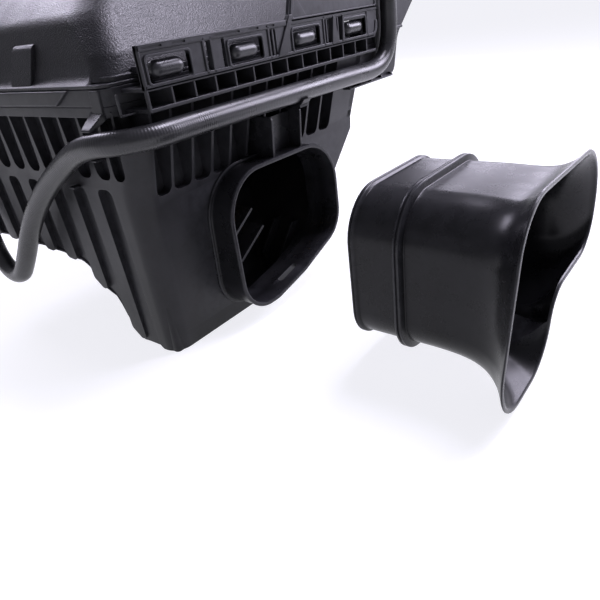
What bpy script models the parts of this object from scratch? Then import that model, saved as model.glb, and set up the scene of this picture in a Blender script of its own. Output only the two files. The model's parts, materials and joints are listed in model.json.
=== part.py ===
"""Air filter housing: ribbed tray, hinged cover, panel filter, pull-out inlet duct and breather hose.

Metres, +Z up. The origin is on the sump floor, which the housing stands on.
"""
import math

import bmesh
import bpy
from mathutils import Matrix, Vector

MM = 0.001

# Clearances
PART_GAP = 0.3 * MM
SEAT_GAP = 0.5 * MM
WALL = 3.0 * MM

# Rim of the tray, from the sump's middle
RIM_LEFT = 57.0 * MM
RIM_FRONT = 23.0 * MM
RIM_LENGTH = 264.0 * MM
RIM_DEPTH = 240.0 * MM
RIM_CORNER = 7.0 * MM
SEAM_HEIGHT = 181.7 * MM
FLANGE_HEIGHT = 15.7 * MM
FLANGE_STEP = 0.4 * MM

# Tray walls
SIDE_DRAFT = 6.0 * MM
FRONT_CORNER = 16.4 * MM
TRAY_EDGE = 4.0 * MM
GUSSET_INSET = 5.0 * MM
KNEE_HEIGHT = 116.0 * MM
KNEE_SETBACK = 1.5 * MM
FRONT_DRAFT = 6.5 * MM
SUMP_WIDTH = 138.0 * MM
SUMP_DEPTH = 41.0 * MM
SUMP_STEP_RUN = 7.0 * MM
SUMP_STEP_RISE = 31.0 * MM
RAMP_RUN = 37.0 * MM
RAMP_RISE = 28.0 * MM
REAR_FLOOR_RISE = 3.0 * MM
BACK_INSET = 4.0 * MM
BACK_DRAFT = 8.0 * MM
RIGHT_OVERHANG = 22.0 * MM
RIGHT_DRAFT = 2.0 * MM
RIGHT_KNEE_HEIGHT = 106.0 * MM

# Ribs of the tray
FIN_THICK = 2.2 * MM
SLOT_DEPTH = 7.5 * MM
FRONT_SLOT_BACK = 6.5 * MM
SLOT_FOOT_RADIUS = 5.0 * MM
SIDE_FIN_PITCH = 21.2 * MM
SIDE_FIN_COUNT = 11
SIDE_SLOT_START = 4.2 * MM
SIDE_SLOT_FOOT = 128.0 * MM
GROOVE_PITCH = 29.8 * MM
GROOVE_WIDTH = 15.5 * MM
GROOVE_START = 32.0 * MM
GROOVE_COUNT = 7
GROOVE_TOP = 121.0 * MM
GROOVE_FLOOR = 8.0 * MM
FRONT_SLOT_FOOT = 114.0 * MM

STRIP_PROUD = 2.0 * MM
STRIP_START = 34.0 * MM
STRIP_LEAN = 16.0 * MM
STRIP_DEPTH = 8.7 * MM
VANE_COUNT = 2
VANE_PITCH = 20.5 * MM
VANE_START = 19.0 * MM
VANE_THICK = 2.0 * MM
VANE_RISE = 8.0 * MM
VANE_LENGTH = 46.0 * MM

# Hinge shelf and window plate
SHELF_REACH = 22.0 * MM
SHELF_LEFT = 12.0 * MM
SHELF_LENGTH = 248.6 * MM
RAIL_THICK = 2.6 * MM
UPPER_RAIL_DROP = 3.7 * MM
MULLION_PITCH = 17.66 * MM
MULLION_START = 18.7 * MM
MULLION_COUNT = 13
MULLION_THICK = 2.0 * MM
MULLION_INSET = 0.4 * MM
PLATE_THICK = 2.6 * MM
PLATE_RISE = 19.3 * MM
WINDOW_COUNT = 4
WINDOW_PITCH = 64.5 * MM
WINDOW_START = 20.6 * MM
WINDOW_WIDTH = 27.6 * MM
WINDOW_HEIGHT = 11.4 * MM
BARREL_RADIUS = 4.7 * MM
BARREL_LENGTH = 24.0 * MM
BARREL_SETBACK = 4.4 * MM
BARREL_RISE = 6.0 * MM
TONGUE_WIDTH = 15.0 * MM
TONGUE_THICK = 4.0 * MM
RELIEF_SLOT_WIDTH = 11.0 * MM
RELIEF_SLOT_HEIGHT = 1.6 * MM
RELIEF_SLOT_GAP = 3.0 * MM
PLATE_SLIT_WIDTH = 3.4 * MM
PLATE_SLIT_OFFSETS = (37.0 * MM, 30.5 * MM, 30.5 * MM)
PANEL_START = 132.0 * MM
PANEL_LEAN = 14.0 * MM
PANEL_RISE = 39.0 * MM
GUSSET_DEPTH = 8.0 * MM
GUSSET_THICK = 2.2 * MM

# Inlet collar
COLLAR_WALL = 2.6 * MM
COLLAR_LEFT = 56.5 * MM
COLLAR_BASE = 10.0 * MM
COLLAR_WIDTH = 125.5 * MM
COLLAR_HEIGHT = 105.5 * MM
COLLAR_TOP_FALL = 1.5 * MM
COLLAR_SIDE_RISE = 27.0 * MM
COLLAR_TOE = 35.5 * MM
COLLAR_SAG = 70.5 * MM
COLLAR_SAG_RISE = 7.5 * MM
COLLAR_RADII = (28.0 * MM, 34.0 * MM, 26.0 * MM, 40.0 * MM, 40.0 * MM, 22.0 * MM)
CORNER_STEPS = 5
DRAIN_SLOT_LENGTH = 22.0 * MM
DRAIN_SLOT_WIDTH = 5.0 * MM
DRAIN_SLOT_FROM_LIP = 9.4 * MM
DRAIN_SLOT_X = 61.0 * MM
CRADLE_LEFT = 55.0 * MM
CRADLE_WIDTH = 32.5 * MM
CRADLE_THICK = 2.2 * MM
CRADLE_DROP = 23.0 * MM

# Inlet duct
DUCT_WALL = 2.4 * MM
DUCT_PULL = 120.7 * MM
NECK_LENGTH = 31.2 * MM
BEAD_HEIGHT = 1.8 * MM
BEAD_WIDTH = 5.0 * MM
STOP_RIB_WIDTH = 5.5 * MM
BODY_LENGTH = 33.0 * MM
FLARE_LENGTH = 33.5 * MM
FLARE_ROLL = 1.6 * MM
FLARE_OUT_LEFT = 30.5 * MM
FLARE_TOP_LEFT = 4.5 * MM
FLARE_OUT_RIGHT = 13.3 * MM
FLARE_TOP = 5.5 * MM
FLARE_TOP_FALL = 6.0 * MM
FLARE_DROP = 7.0 * MM
FLARE_TOE = 52.5 * MM
FLARE_PINCH_X = 59.5 * MM
FLARE_PINCH_RISE = 42.0 * MM
FLARE_RADII = (32.0 * MM, 42.0 * MM, 24.0 * MM, 22.0 * MM, 30.0 * MM, 30.0 * MM)
BODY_DROOP = 7.0 * MM
BODY_START = 0.2

# Filter seat and filter
LEDGE_WIDTH = 5.0 * MM
LEDGE_DEPTH = 9.7 * MM
SEAL_WIDTH = 13.0 * MM
MEDIA_HEIGHT = 44.0 * MM
MEDIA_TOP_DROP = 1.7 * MM
PLEAT_COUNT = 24
PAPER_THICK = 1.0 * MM

# Cover
COVER_PLATE = 5.0 * MM
COVER_LAP = 4.0 * MM
COVER_WALL = 2.6 * MM
COVER_HEIGHT = 58.0 * MM
COVER_SIDE_INSET = 6.0 * MM
COVER_SIDE_LEAN = 5.0 * MM
COVER_FRONT_INSET = 4.0 * MM
COVER_FRONT_LIP = 11.0 * MM
COVER_FRONT_LIP_LEAN = 4.0 * MM
COVER_FRONT_SLOPE = 40.0 * MM
COVER_SHOULDER = 15.0 * MM
COVER_BACK_INSET = 5.0 * MM
COVER_BACK_LEAN = 7.0 * MM
COVER_EDGE = 8.0 * MM
COVER_LEFT_INSET = 5.0 * MM
COVER_LEFT_LEAN = 13.0 * MM
COVER_LEFT_SHOULDER = 26.0 * MM
COVER_LEFT_RUN = 30.0 * MM
COVER_FLANGE = 1.8 * MM
COVER_FLANGE_WIDTH = 3.0 * MM
COVE_EDGE = 0.6 * MM
COVE_HEIGHT = 6.0 * MM
BUTTRESS_COUNT = 3
BUTTRESS_PITCH = 66.0 * MM
BUTTRESS_START = 80.0 * MM
BUTTRESS_WIDTH = 25.0 * MM
BUTTRESS_HEIGHT = 21.0 * MM
BUTTRESS_PROUD = 2.5 * MM
OUTLET_RADIUS = 38.0 * MM
OUTLET_WALL = 2.8 * MM
OUTLET_RISE = 30.0 * MM
OUTLET_BEAD = 1.6 * MM
OUTLET_FROM_LEFT = 190.0 * MM
OUTLET_FROM_FRONT = 150.0 * MM

# Cover screws
SCREW_OUTSET = 4.0 * MM
SCREW_END_INSET = 27.0 * MM
SCREW_SIDE_Y = 120.0 * MM
LUG_RADIUS = 8.5 * MM
LUG_RISE = 8.0 * MM
INSERT_RADIUS = 4.0 * MM
INSERT_LENGTH = 12.0 * MM
SLEEVE_RADIUS = 4.3 * MM
SLEEVE_WALL = 1.3 * MM
SHANK_RADIUS = 2.4 * MM
SHANK_LENGTH = 20.0 * MM
HEAD_RADIUS = 6.5 * MM
HEAD_HEIGHT = 4.6 * MM
SOCKET_RADIUS = 2.5 * MM
SOCKET_DEPTH = 2.8 * MM
BORE_GAP = 0.35 * MM

# Right-hand bracket and its lug
WEB_SETBACK = 8.0 * MM
WEB_THICK = 3.0 * MM
WEB_START = 205.0 * MM
WEB_FOOT_DROP = 24.0 * MM
WEB_CLEAR_OF_COVER = 5.0 * MM
WEB_TOP = 256.0 * MM
WEB_WAIST = 36.0 * MM
WEB_EAR = 96.0 * MM
WEB_RIB_THICK = 2.2 * MM
WEB_RIB_REACH = 5.4 * MM
KERB_HEIGHT = 3.2 * MM
KERB_REACH = 9.0 * MM
LUG_X = 74.0 * MM
LUG_FROM_TOP = 21.0 * MM
GROMMET_NECK_RADIUS = 8.5 * MM
GROMMET_RADIUS = 13.0 * MM
GROMMET_FLANGE = 3.5 * MM
GROMMET_BORE_RADIUS = 5.6 * MM
LUG_SLEEVE_WALL = 1.9 * MM

# Breather hose and what holds it
HOSE_RADIUS = 7.1 * MM
HOSE_STEP = 11.0 * MM
NIPPLE_RADIUS = 8.0 * MM
NIPPLE_LENGTH = 15.0 * MM
CLAMP_BAND = 8.0 * MM
CLAMP_THICK = 1.0 * MM
CLAMP_EAR = 5.0 * MM
CLAMP_FROM_END = 3.0 * MM
CLIP_WIDTH = 9.0 * MM
CLIP_THICK = 1.6 * MM
CLIP_ARC_SHARE = 0.6
HOOK_LENGTH = 13.0 * MM
HOOK_THICK = 2.4 * MM
HOOK_START = 26.5 * MM
HOOK_OVERHANG = 2.4 * MM
HOOK_OVER_POINT = 23

# Rear legs
LEG_WIDTH = 24.0 * MM
LEG_BACK_INSET = 30.0 * MM
LEG_NEAR_X = 75.0 * MM
LEG_FAR_X = 160.0 * MM
FOOT_RADIUS = 11.0 * MM
FOOT_HEIGHT = 9.0 * MM
FOOT_PEG_RADIUS = 5.0 * MM
FOOT_PEG_LENGTH = 8.0 * MM

# Places worked out from the sizes above
X_LEFT = -RIM_LEFT
X_RIGHT = X_LEFT + RIM_LENGTH
Y_FRONT = -RIM_FRONT
Y_BACK = Y_FRONT + RIM_DEPTH
Z_FLANGE = SEAM_HEIGHT - FLANGE_HEIGHT
Z_COVER = SEAM_HEIGHT + PART_GAP
Z_PLATE_TOP = Z_COVER + COVER_PLATE
Y_SHELF = Y_FRONT - SHELF_REACH
X_SHELF = X_LEFT + SHELF_LEFT
X_SHELF_END = X_SHELF + SHELF_LENGTH
Z_UPPER_RAIL = SEAM_HEIGHT - UPPER_RAIL_DROP
Y_HINGE = Y_SHELF + BARREL_SETBACK
Z_HINGE = SEAM_HEIGHT + BARREL_RISE
X_TRAY_RIGHT = X_RIGHT - RIGHT_OVERHANG
Y_TRAY_BACK = Y_BACK - BACK_INSET
CAVITY_LEFT = X_LEFT + SLOT_DEPTH + WALL
CAVITY_RIGHT = X_TRAY_RIGHT - SLOT_DEPTH - WALL
CAVITY_FRONT = Y_FRONT + FRONT_SLOT_BACK + WALL
CAVITY_BACK = Y_TRAY_BACK - SLOT_DEPTH - WALL
Z_LEDGE = SEAM_HEIGHT - LEDGE_DEPTH
X_COLLAR = X_LEFT + COLLAR_LEFT
X_WEB = X_LEFT + SHELF_LEFT + WEB_START
Y_WEB = Y_SHELF + WEB_SETBACK
Z_WEB_FOOT = Z_FLANGE - WEB_FOOT_DROP
SCREWS = (
    (X_LEFT + SCREW_END_INSET, Y_BACK + SCREW_OUTSET),
    ((X_LEFT + X_RIGHT) / 2, Y_BACK + SCREW_OUTSET),
    (X_RIGHT - SCREW_END_INSET, Y_BACK + SCREW_OUTSET),
    (X_RIGHT + SCREW_OUTSET, Y_FRONT + SCREW_SIDE_Y),
)
LEGS = ((LEG_NEAR_X, Y_BACK - LEG_BACK_INSET), (LEG_FAR_X, Y_BACK - LEG_BACK_INSET))
LUG_CENTRE = Vector((X_RIGHT + LUG_X, Y_WEB + WEB_THICK / 2, WEB_TOP - LUG_FROM_TOP))

# The hose's route in millimetres, in four stretches that each keep to what is beside them
HOSE_FROM_BRACKET = ((14.0, -1.0, -18.5), (14.0, -1.0, -31.4), (14.0, -1.0, -44.3))
HOSE_ALONG_FRONT = (
    (14.0, -1.0, 32.8), (14.2, -0.8, 19.4), (12.3, -0.5, 6.7), (6.3, -0.2, -3.9), (-3.7, 0.2, -10.6),
    (-16.4, 0.5, -13.1), (-29.6, 0.6, -13.4), (-42.7, 0.7, -13.1), (-68.5, 0.7, -12.8),
)
HOSE_ROUND_CORNER = (
    (169.7, 0.7, -12.6), (143.9, 0.7, -12.5), (118.1, 0.7, -12.3), (92.3, 0.7, -12.1), (66.6, 0.7, -11.9),
    (40.6, 0.7, -11.8), (29.4, 0.7, -11.8), (18.4, 0.7, -11.8), (8.0, 2.8, -11.9), (-0.9, 8.7, -12.0),
    (-6.8, 17.6, -12.3), (-8.9, 28.0, -13.0), (-9.4, 39.6, -14.9), (-9.3, 52.2, -18.5),
    (-9.0, 64.1, -23.5), (-9.0, 75.7, -29.3), (-9.1, 87.1, -35.4), (-9.4, 98.2, -42.0),
    (-9.8, 108.9, -49.1), (-10.3, 119.2, -56.8), (-10.9, 129.1, -65.0), (-11.4, 138.6, -73.8),
)
HOSE_TO_REAR = (
    (-11.9, -114.5, -83.0), (-12.3, -105.9, -92.7), (-12.7, -97.0, -103.0), (-13.1, -85.6, -115.2),
    (-13.3, -77.5, -122.3), (-13.2, -67.4, -125.7), (-12.6, -56.7, -125.2), (-11.7, -47.0, -120.7),
    (-10.7, -39.8, -112.8), (-9.9, -36.1, -103.8), (-9.3, -32.4, -91.4), (-8.9, -28.0, -79.6),
    (-8.6, -23.2, -68.0), (-8.5, -19.3, -57.5), (-8.5, -17.6, -47.9), (-8.5, -17.6, -35.0),
)
HOSE_STRETCHES = (
    (HOSE_FROM_BRACKET, (X_RIGHT, Y_SHELF, WEB_TOP)),
    (HOSE_ALONG_FRONT, (X_RIGHT, Y_SHELF, Z_FLANGE)),
    (HOSE_ROUND_CORNER, (X_LEFT, Y_SHELF, Z_FLANGE)),
    (HOSE_TO_REAR, (X_LEFT, Y_BACK, Z_FLANGE)),
)


def clear_scene():
    for old in list(bpy.data.objects):
        bpy.data.objects.remove(old)


def new_collection(name):
    made = bpy.data.collections.new(name)
    bpy.context.scene.collection.children.link(made)
    return made


def plastic(name, colour, roughness, metallic=0.0):
    made = bpy.data.materials.new(name)
    made.use_nodes = True
    shader = made.node_tree.nodes["Principled BSDF"]
    shader.inputs["Base Color"].default_value = (*colour, 1.0)
    shader.inputs["Roughness"].default_value = roughness
    shader.inputs["Metallic"].default_value = metallic
    return made


def put(name, mesh, home, material=None):
    made = bpy.data.objects.new(name, mesh)
    home.objects.link(made)
    if material:
        mesh.materials.clear()
        mesh.materials.append(material)
    return made


def evaluated_mesh(thing):
    bpy.context.view_layer.update()
    graph = bpy.context.evaluated_depsgraph_get()
    return bpy.data.meshes.new_from_object(thing.evaluated_get(graph))


def from_bmesh(mesh_name, build):
    work = bmesh.new()
    build(work)
    mesh = bpy.data.meshes.new(mesh_name)
    work.to_mesh(mesh)
    work.free()
    return mesh


def box(low, high):
    size = [b - a for a, b in zip(low, high)]
    middle = [(a + b) / 2 for a, b in zip(low, high)]

    def build(work):
        place = Matrix.Translation(middle) @ Matrix.Diagonal((*size, 1.0))
        bmesh.ops.create_cube(work, size=1.0, matrix=place)

    return from_bmesh("box", build)


def rod(start, end, radius, sides=20, tip_radius=None):
    start = Vector(start)
    end = Vector(end)
    turn = (end - start).to_track_quat("Z", "Y").to_matrix().to_4x4()
    place = Matrix.Translation((start + end) / 2) @ turn

    def build(work):
        tip = radius if tip_radius is None else tip_radius
        bmesh.ops.create_cone(work, cap_ends=True, segments=sides, radius1=radius,
                              radius2=tip, depth=(end - start).length, matrix=place)

    return from_bmesh("rod", build)


def slab(outline, axis, low, high):
    """A flat outline, filled and given its thickness along X, Y or Z."""
    curve = bpy.data.curves.new("outline", "CURVE")
    curve.dimensions = "2D"
    curve.fill_mode = "BOTH"
    curve.extrude = (high - low) / 2
    spline = curve.splines.new("POLY")
    spline.points.add(len(outline) - 1)
    for point, (across, along) in zip(spline.points, outline):
        point.co = (across, along, 0.0, 1.0)
    spline.use_cyclic_u = True
    guide = bpy.data.objects.new("outline", curve)
    bpy.context.scene.collection.objects.link(guide)
    mesh = evaluated_mesh(guide)
    bpy.data.objects.remove(guide)
    middle = (low + high) / 2
    turns = {
        "X": Matrix(((0, 0, 1, middle), (1, 0, 0, 0), (0, 1, 0, 0), (0, 0, 0, 1))),
        "Y": Matrix(((1, 0, 0, 0), (0, 0, -1, middle), (0, 1, 0, 0), (0, 0, 0, 1))),
        "Z": Matrix(((1, 0, 0, 0), (0, 1, 0, 0), (0, 0, 1, middle), (0, 0, 0, 1))),
    }
    mesh.transform(turns[axis])
    return welded(mesh)


def welded(mesh):
    work = bmesh.new()
    work.from_mesh(mesh)
    bmesh.ops.remove_doubles(work, verts=work.verts, dist=1e-6)
    bmesh.ops.dissolve_limit(work, angle_limit=math.radians(0.2), verts=work.verts, edges=work.edges)
    bmesh.ops.recalc_face_normals(work, faces=work.faces)
    work.to_mesh(mesh)
    work.free()
    return mesh


def fillet(before, corner, after, radius, steps=CORNER_STEPS):
    """Points of the arc that rounds one corner of an outline."""
    before, corner, after = Vector(before), Vector(corner), Vector(after)
    inward = (before - corner).normalized()
    outward = (after - corner).normalized()
    half_turn = (math.pi - inward.angle(outward)) / 2
    reach = radius * math.tan(half_turn)
    start = corner + inward * reach
    end = corner + outward * reach
    weight = math.cos(half_turn)
    points = []
    for step in range(steps):
        t = step / (steps - 1)
        a, b, c = (1 - t) ** 2, 2 * weight * t * (1 - t), t * t
        points.append((start * a + corner * b + end * c) / (a + b + c))
    return points


def rounded(corners, radii, steps=CORNER_STEPS):
    points = []
    for here, corner in enumerate(corners):
        before = corners[here - 1]
        after = corners[(here + 1) % len(corners)]
        points.extend(fillet(before, corner, after, radii[here], steps))
    return points


def rounded_box(x_low, x_high, y_low, y_high, radius, steps=CORNER_STEPS):
    corners = ((x_low, y_low), (x_high, y_low), (x_high, y_high), (x_low, y_high))
    return rounded(corners, (radius,) * 4, steps)


def shifted(points, distance):
    """The outline moved outward by a distance, for points that run clockwise."""
    moved = []
    for here, point in enumerate(points):
        along = (points[(here + 1) % len(points)] - points[here - 1]).normalized()
        moved.append(point + Vector((-along.y, along.x)) * distance)
    return moved


def boolean(target, operation, home):
    made = target.modifiers.new(operation.lower(), "BOOLEAN")
    made.operation = operation
    made.operand_type = "COLLECTION"
    made.collection = home
    made.solver = "EXACT"
    return made


def tool(mesh, home):
    made = put(home.name + "_tool", mesh, home)
    made.hide_render = True
    made.display_type = "WIRE"
    return made


def smooth(target, degrees=35):
    target.data.shade_smooth()
    target.data.set_sharp_from_angle(angle=math.radians(degrees))


def crossed(name, side_outline, front_outline, home):
    """The solid common to a side profile and a front profile."""
    reach = 1.0
    body = put(name, slab(side_outline, "X", -reach, reach), home)
    store = new_collection(name + "_profile")
    tool(slab(front_outline, "Y", -reach, reach), store)
    boolean(body, "INTERSECT", store)
    mesh = welded(evaluated_mesh(body))
    bpy.data.objects.remove(body)
    for made in list(store.objects):
        bpy.data.objects.remove(made)
    bpy.data.collections.remove(store)
    return mesh


def round_edges(mesh, wanted, width, segments):
    """Round the edges between two faces whose normals pass the test."""
    work = bmesh.new()
    work.from_mesh(mesh)
    chosen = []
    for edge in work.edges:
        if len(edge.link_faces) == 2:
            one, two = (face.normal for face in edge.link_faces)
            if wanted(one, two) or wanted(two, one):
                chosen.append(edge)
    bmesh.ops.bevel(work, geom=chosen, offset=width, offset_type="OFFSET", segments=segments,
                    profile=0.5, affect="EDGES", clamp_overlap=True)
    work.to_mesh(mesh)
    work.free()
    return mesh


def tray_side(inset):
    y_sump = Y_FRONT + FRONT_DRAFT - KNEE_SETBACK
    y_step = y_sump + SUMP_DEPTH
    y_ramp = y_step + SUMP_STEP_RUN
    y_rear = y_ramp + RAMP_RUN
    z_ramp = SUMP_STEP_RISE
    z_rear = z_ramp + RAMP_RISE
    top = SEAM_HEIGHT + FLANGE_HEIGHT
    if inset:
        lift = WALL
        return [
            (CAVITY_FRONT, top), (CAVITY_FRONT, lift), (y_step - lift, lift),
            (y_ramp - lift, z_ramp + lift),
            (y_rear - lift, z_rear + lift), (CAVITY_BACK, z_rear + REAR_FLOOR_RISE + lift),
            (CAVITY_BACK, top),
        ]
    return [
        (Y_SHELF + GUSSET_INSET, Z_FLANGE + WALL), (Y_FRONT - KNEE_SETBACK, KNEE_HEIGHT), (y_sump, 0.0),
        (y_step, 0.0), (y_ramp, z_ramp), (y_rear, z_rear),
        (Y_TRAY_BACK - BACK_DRAFT, z_rear + REAR_FLOOR_RISE), (Y_TRAY_BACK, Z_FLANGE + WALL),
    ]


def tray_front(inset):
    x_low = X_LEFT + SIDE_DRAFT
    x_sump = x_low + SUMP_WIDTH
    x_knee = X_TRAY_RIGHT - RIGHT_DRAFT
    top = SEAM_HEIGHT + FLANGE_HEIGHT
    slope = Vector((x_knee - x_sump, RIGHT_KNEE_HEIGHT))
    if inset:
        # The inner slope lies one wall inside the outer one
        run = slope.x / slope.y
        back = WALL * slope.length / slope.y
        x_floor = x_sump - back + WALL * run
        z_knee = (CAVITY_RIGHT - x_sump + back) / run
        return [
            (CAVITY_LEFT, top), (CAVITY_LEFT, WALL), (x_floor, WALL), (CAVITY_RIGHT, z_knee),
            (CAVITY_RIGHT, top),
        ]
    return [
        (X_LEFT + FLANGE_STEP, Z_FLANGE + WALL), (x_low, 0.0), (x_sump, 0.0),
        (x_knee, RIGHT_KNEE_HEIGHT), (X_TRAY_RIGHT, Z_FLANGE + WALL),
    ]


def tray_body():
    mesh = crossed("tray_blank", tray_side(False), tray_front(False), bpy.context.scene.collection)
    round_edges(mesh, lambda a, b: a.x < -0.9 and b.y < -0.7, FRONT_CORNER, 4)
    round_edges(mesh, lambda a, b: a.z < -0.9 and abs(b.z) < 0.5 and b.y < 0.5, TRAY_EDGE, 2)
    work = bmesh.new()
    work.from_mesh(mesh)
    bmesh.ops.triangulate(work, faces=work.faces)
    work.to_mesh(mesh)
    work.free()
    return mesh


def foot_outline(low, high, foot, top, radius):
    """A slot with rounded lower corners."""
    corners = ((low, top), (low, foot), (high, foot), (high, top))
    tiny = radius / 100
    return rounded(corners, (tiny, radius, radius, tiny), 4)


def tray_slots(store):
    top = Z_FLANGE + 2 * WALL
    reach = SLOT_DEPTH * 4
    # Front slots between the gussets
    for gap in range(-1, MULLION_COUNT):
        low = X_SHELF + MULLION_START + gap * MULLION_PITCH + FIN_THICK / 2
        high = low + MULLION_PITCH - FIN_THICK
        low = max(low, X_LEFT + FRONT_CORNER)
        high = min(high, X_TRAY_RIGHT - SLOT_DEPTH)
        if high - low > 2 * SLOT_FOOT_RADIUS:
            shape = foot_outline(low, high, FRONT_SLOT_FOOT, top, SLOT_FOOT_RADIUS)
            tool(slab(shape, "Y", Y_SHELF - reach, Y_FRONT + FRONT_SLOT_BACK), store)
    # Upper slots of the left wall, with the same row on the back and the right
    for gap in range(SIDE_FIN_COUNT):
        middle = Y_FRONT + SIDE_SLOT_START + gap * SIDE_FIN_PITCH
        half = (SIDE_FIN_PITCH - FIN_THICK) / 2
        low = max(middle - half, Y_FRONT + FIN_THICK)
        high = min(middle + half, Y_TRAY_BACK - SLOT_DEPTH)
        if high - low > 2 * SLOT_FOOT_RADIUS:
            shape = foot_outline(low, high, SIDE_SLOT_FOOT, top, SLOT_FOOT_RADIUS)
            tool(slab(shape, "X", X_LEFT - reach, X_LEFT + SLOT_DEPTH), store)
            if gap > 1:
                tool(slab(shape, "X", X_TRAY_RIGHT - SLOT_DEPTH, X_TRAY_RIGHT + reach), store)
    count = int((X_TRAY_RIGHT - X_LEFT) / SIDE_FIN_PITCH)
    for gap in range(count):
        low = X_LEFT + SLOT_DEPTH + gap * SIDE_FIN_PITCH + FIN_THICK
        high = low + SIDE_FIN_PITCH - FIN_THICK
        if high < X_TRAY_RIGHT - SLOT_DEPTH:
            shape = foot_outline(low, high, SIDE_SLOT_FOOT, top, SLOT_FOOT_RADIUS)
            tool(slab(shape, "Y", Y_TRAY_BACK - SLOT_DEPTH, Y_TRAY_BACK + reach), store)
    # Long grooves of the left wall, open at the bottom edge
    for groove in range(GROOVE_COUNT):
        middle = Y_FRONT + GROOVE_START + groove * GROOVE_PITCH
        corners = (
            (middle - GROOVE_WIDTH / 2, -WALL), (middle + GROOVE_WIDTH / 2, -WALL),
            (middle + GROOVE_WIDTH / 2, GROOVE_TOP), (middle - GROOVE_WIDTH / 2, GROOVE_TOP),
        )
        tiny = SLOT_FOOT_RADIUS / 100
        shape = rounded(corners, (tiny, tiny, SLOT_FOOT_RADIUS, SLOT_FOOT_RADIUS), 4)
        tool(slab(shape, "X", X_LEFT - reach, X_LEFT + GROOVE_FLOOR), store)


def collar_corners():
    left, base = X_COLLAR, COLLAR_BASE
    top = base + COLLAR_HEIGHT
    right = left + COLLAR_WIDTH
    return [
        (left, top), (right, top - COLLAR_TOP_FALL), (right, base + COLLAR_SIDE_RISE),
        (left + COLLAR_SAG, base + COLLAR_SAG_RISE), (left + COLLAR_TOE, base), (left, base),
    ]


def collar_outline(inset=0.0):
    return shifted(rounded(collar_corners(), COLLAR_RADII), -inset)


def flare_outline():
    left, base = X_COLLAR, COLLAR_BASE
    top = base + COLLAR_HEIGHT + FLARE_TOP
    right = left + COLLAR_WIDTH + FLARE_OUT_RIGHT
    low = base - FLARE_DROP
    corners = [
        (left - FLARE_TOP_LEFT, top), (right, top - FLARE_TOP_FALL), (right, low + FLARE_PINCH_RISE),
        (left + FLARE_PINCH_X, low + FLARE_PINCH_RISE), (left + FLARE_TOE, low),
        (left - FLARE_OUT_LEFT, low),
    ]
    return rounded(corners, FLARE_RADII)


def window_middles():
    return [X_SHELF + WINDOW_START + place * WINDOW_PITCH for place in range(WINDOW_COUNT)]


def tray_additions(store):
    rim = rounded_box(X_LEFT, X_RIGHT, Y_FRONT, Y_BACK, RIM_CORNER, 4)
    tool(slab(rim, "Z", Z_FLANGE, SEAM_HEIGHT), store)
    # Raised strip under the seam on the left
    y_strip = Y_FRONT + STRIP_START
    strip = ((y_strip, SEAM_HEIGHT), (y_strip + STRIP_LEAN, SEAM_HEIGHT - STRIP_DEPTH),
             (Y_BACK - RIM_CORNER, SEAM_HEIGHT - STRIP_DEPTH), (Y_BACK - RIM_CORNER, SEAM_HEIGHT))
    tool(slab(strip, "X", X_LEFT - STRIP_PROUD, X_LEFT + WALL), store)
    # Hinge shelf: two rails, the webs between them and the window plate
    into_rim = Y_FRONT + WALL
    tool(box((X_SHELF, Y_SHELF, Z_FLANGE), (X_SHELF_END, into_rim, Z_FLANGE + RAIL_THICK)), store)
    tool(box((X_SHELF, Y_SHELF, Z_UPPER_RAIL - RAIL_THICK), (X_SHELF_END, into_rim, Z_UPPER_RAIL)), store)
    places = [MULLION_START + turn * MULLION_PITCH for turn in range(MULLION_COUNT)]
    for place in [MULLION_THICK / 2 + MULLION_INSET] + places:
        low = X_SHELF + place - MULLION_THICK / 2
        tool(box((low, Y_SHELF + MULLION_INSET, Z_FLANGE + RAIL_THICK / 2),
                 (low + MULLION_THICK, into_rim, Z_UPPER_RAIL - RAIL_THICK / 2)), store)
    plate_top = SEAM_HEIGHT + PLATE_RISE
    x_panel = X_SHELF + PANEL_START
    panel_top = plate_top + PANEL_RISE
    plate = (
        (X_SHELF, Z_UPPER_RAIL - RAIL_THICK / 2), (X_SHELF_END, Z_UPPER_RAIL - RAIL_THICK / 2),
        (X_SHELF_END, panel_top), (x_panel + PANEL_LEAN, panel_top), (x_panel, plate_top),
        (X_SHELF, plate_top),
    )
    tool(slab(plate, "Y", Y_SHELF, Y_SHELF + PLATE_THICK), store)
    # Gussets behind the plate, clear of the barrels
    middles = window_middles()
    for here, after in zip(middles, middles[1:]):
        place = (here + after) / 2
        wedge = (
            (Y_SHELF + PLATE_THICK / 2, Z_UPPER_RAIL - RAIL_THICK / 2),
            (Y_SHELF + PLATE_THICK + GUSSET_DEPTH, Z_UPPER_RAIL - RAIL_THICK / 2),
            (Y_SHELF + PLATE_THICK / 2, plate_top - RAIL_THICK),
        )
        tool(slab(wedge, "X", place - GUSSET_THICK / 2, place + GUSSET_THICK / 2), store)
    # Inlet collar, and the two cradle walls that stand on it under the hose
    tool(slab(collar_outline(), "Y", Y_SHELF, CAVITY_FRONT), store)
    for place in (CRADLE_LEFT, CRADLE_LEFT + CRADLE_WIDTH):
        low = X_COLLAR + place
        z_low = COLLAR_BASE + COLLAR_HEIGHT - 2 * COLLAR_WALL
        tool(box((low, Y_SHELF + MULLION_INSET, z_low),
                 (low + CRADLE_THICK, CAVITY_FRONT - WALL / 2, cradle_top())), store)
    # Cover screw bosses
    for x, y in SCREWS:
        tool(rod((x, y, Z_FLANGE), (x, y, SEAM_HEIGHT), LUG_RADIUS), store)
    # Rear legs
    for x, y in LEGS:
        half = LEG_WIDTH / 2
        top = Z_FLANGE - FLANGE_HEIGHT
        tool(box((x - half, y - half, FOOT_HEIGHT + PART_GAP), (x + half, y + half, top)), store)
    bracket_additions(store)
    hose_additions(store)


def cradle_top():
    return Z_FLANGE - CRADLE_DROP


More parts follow.
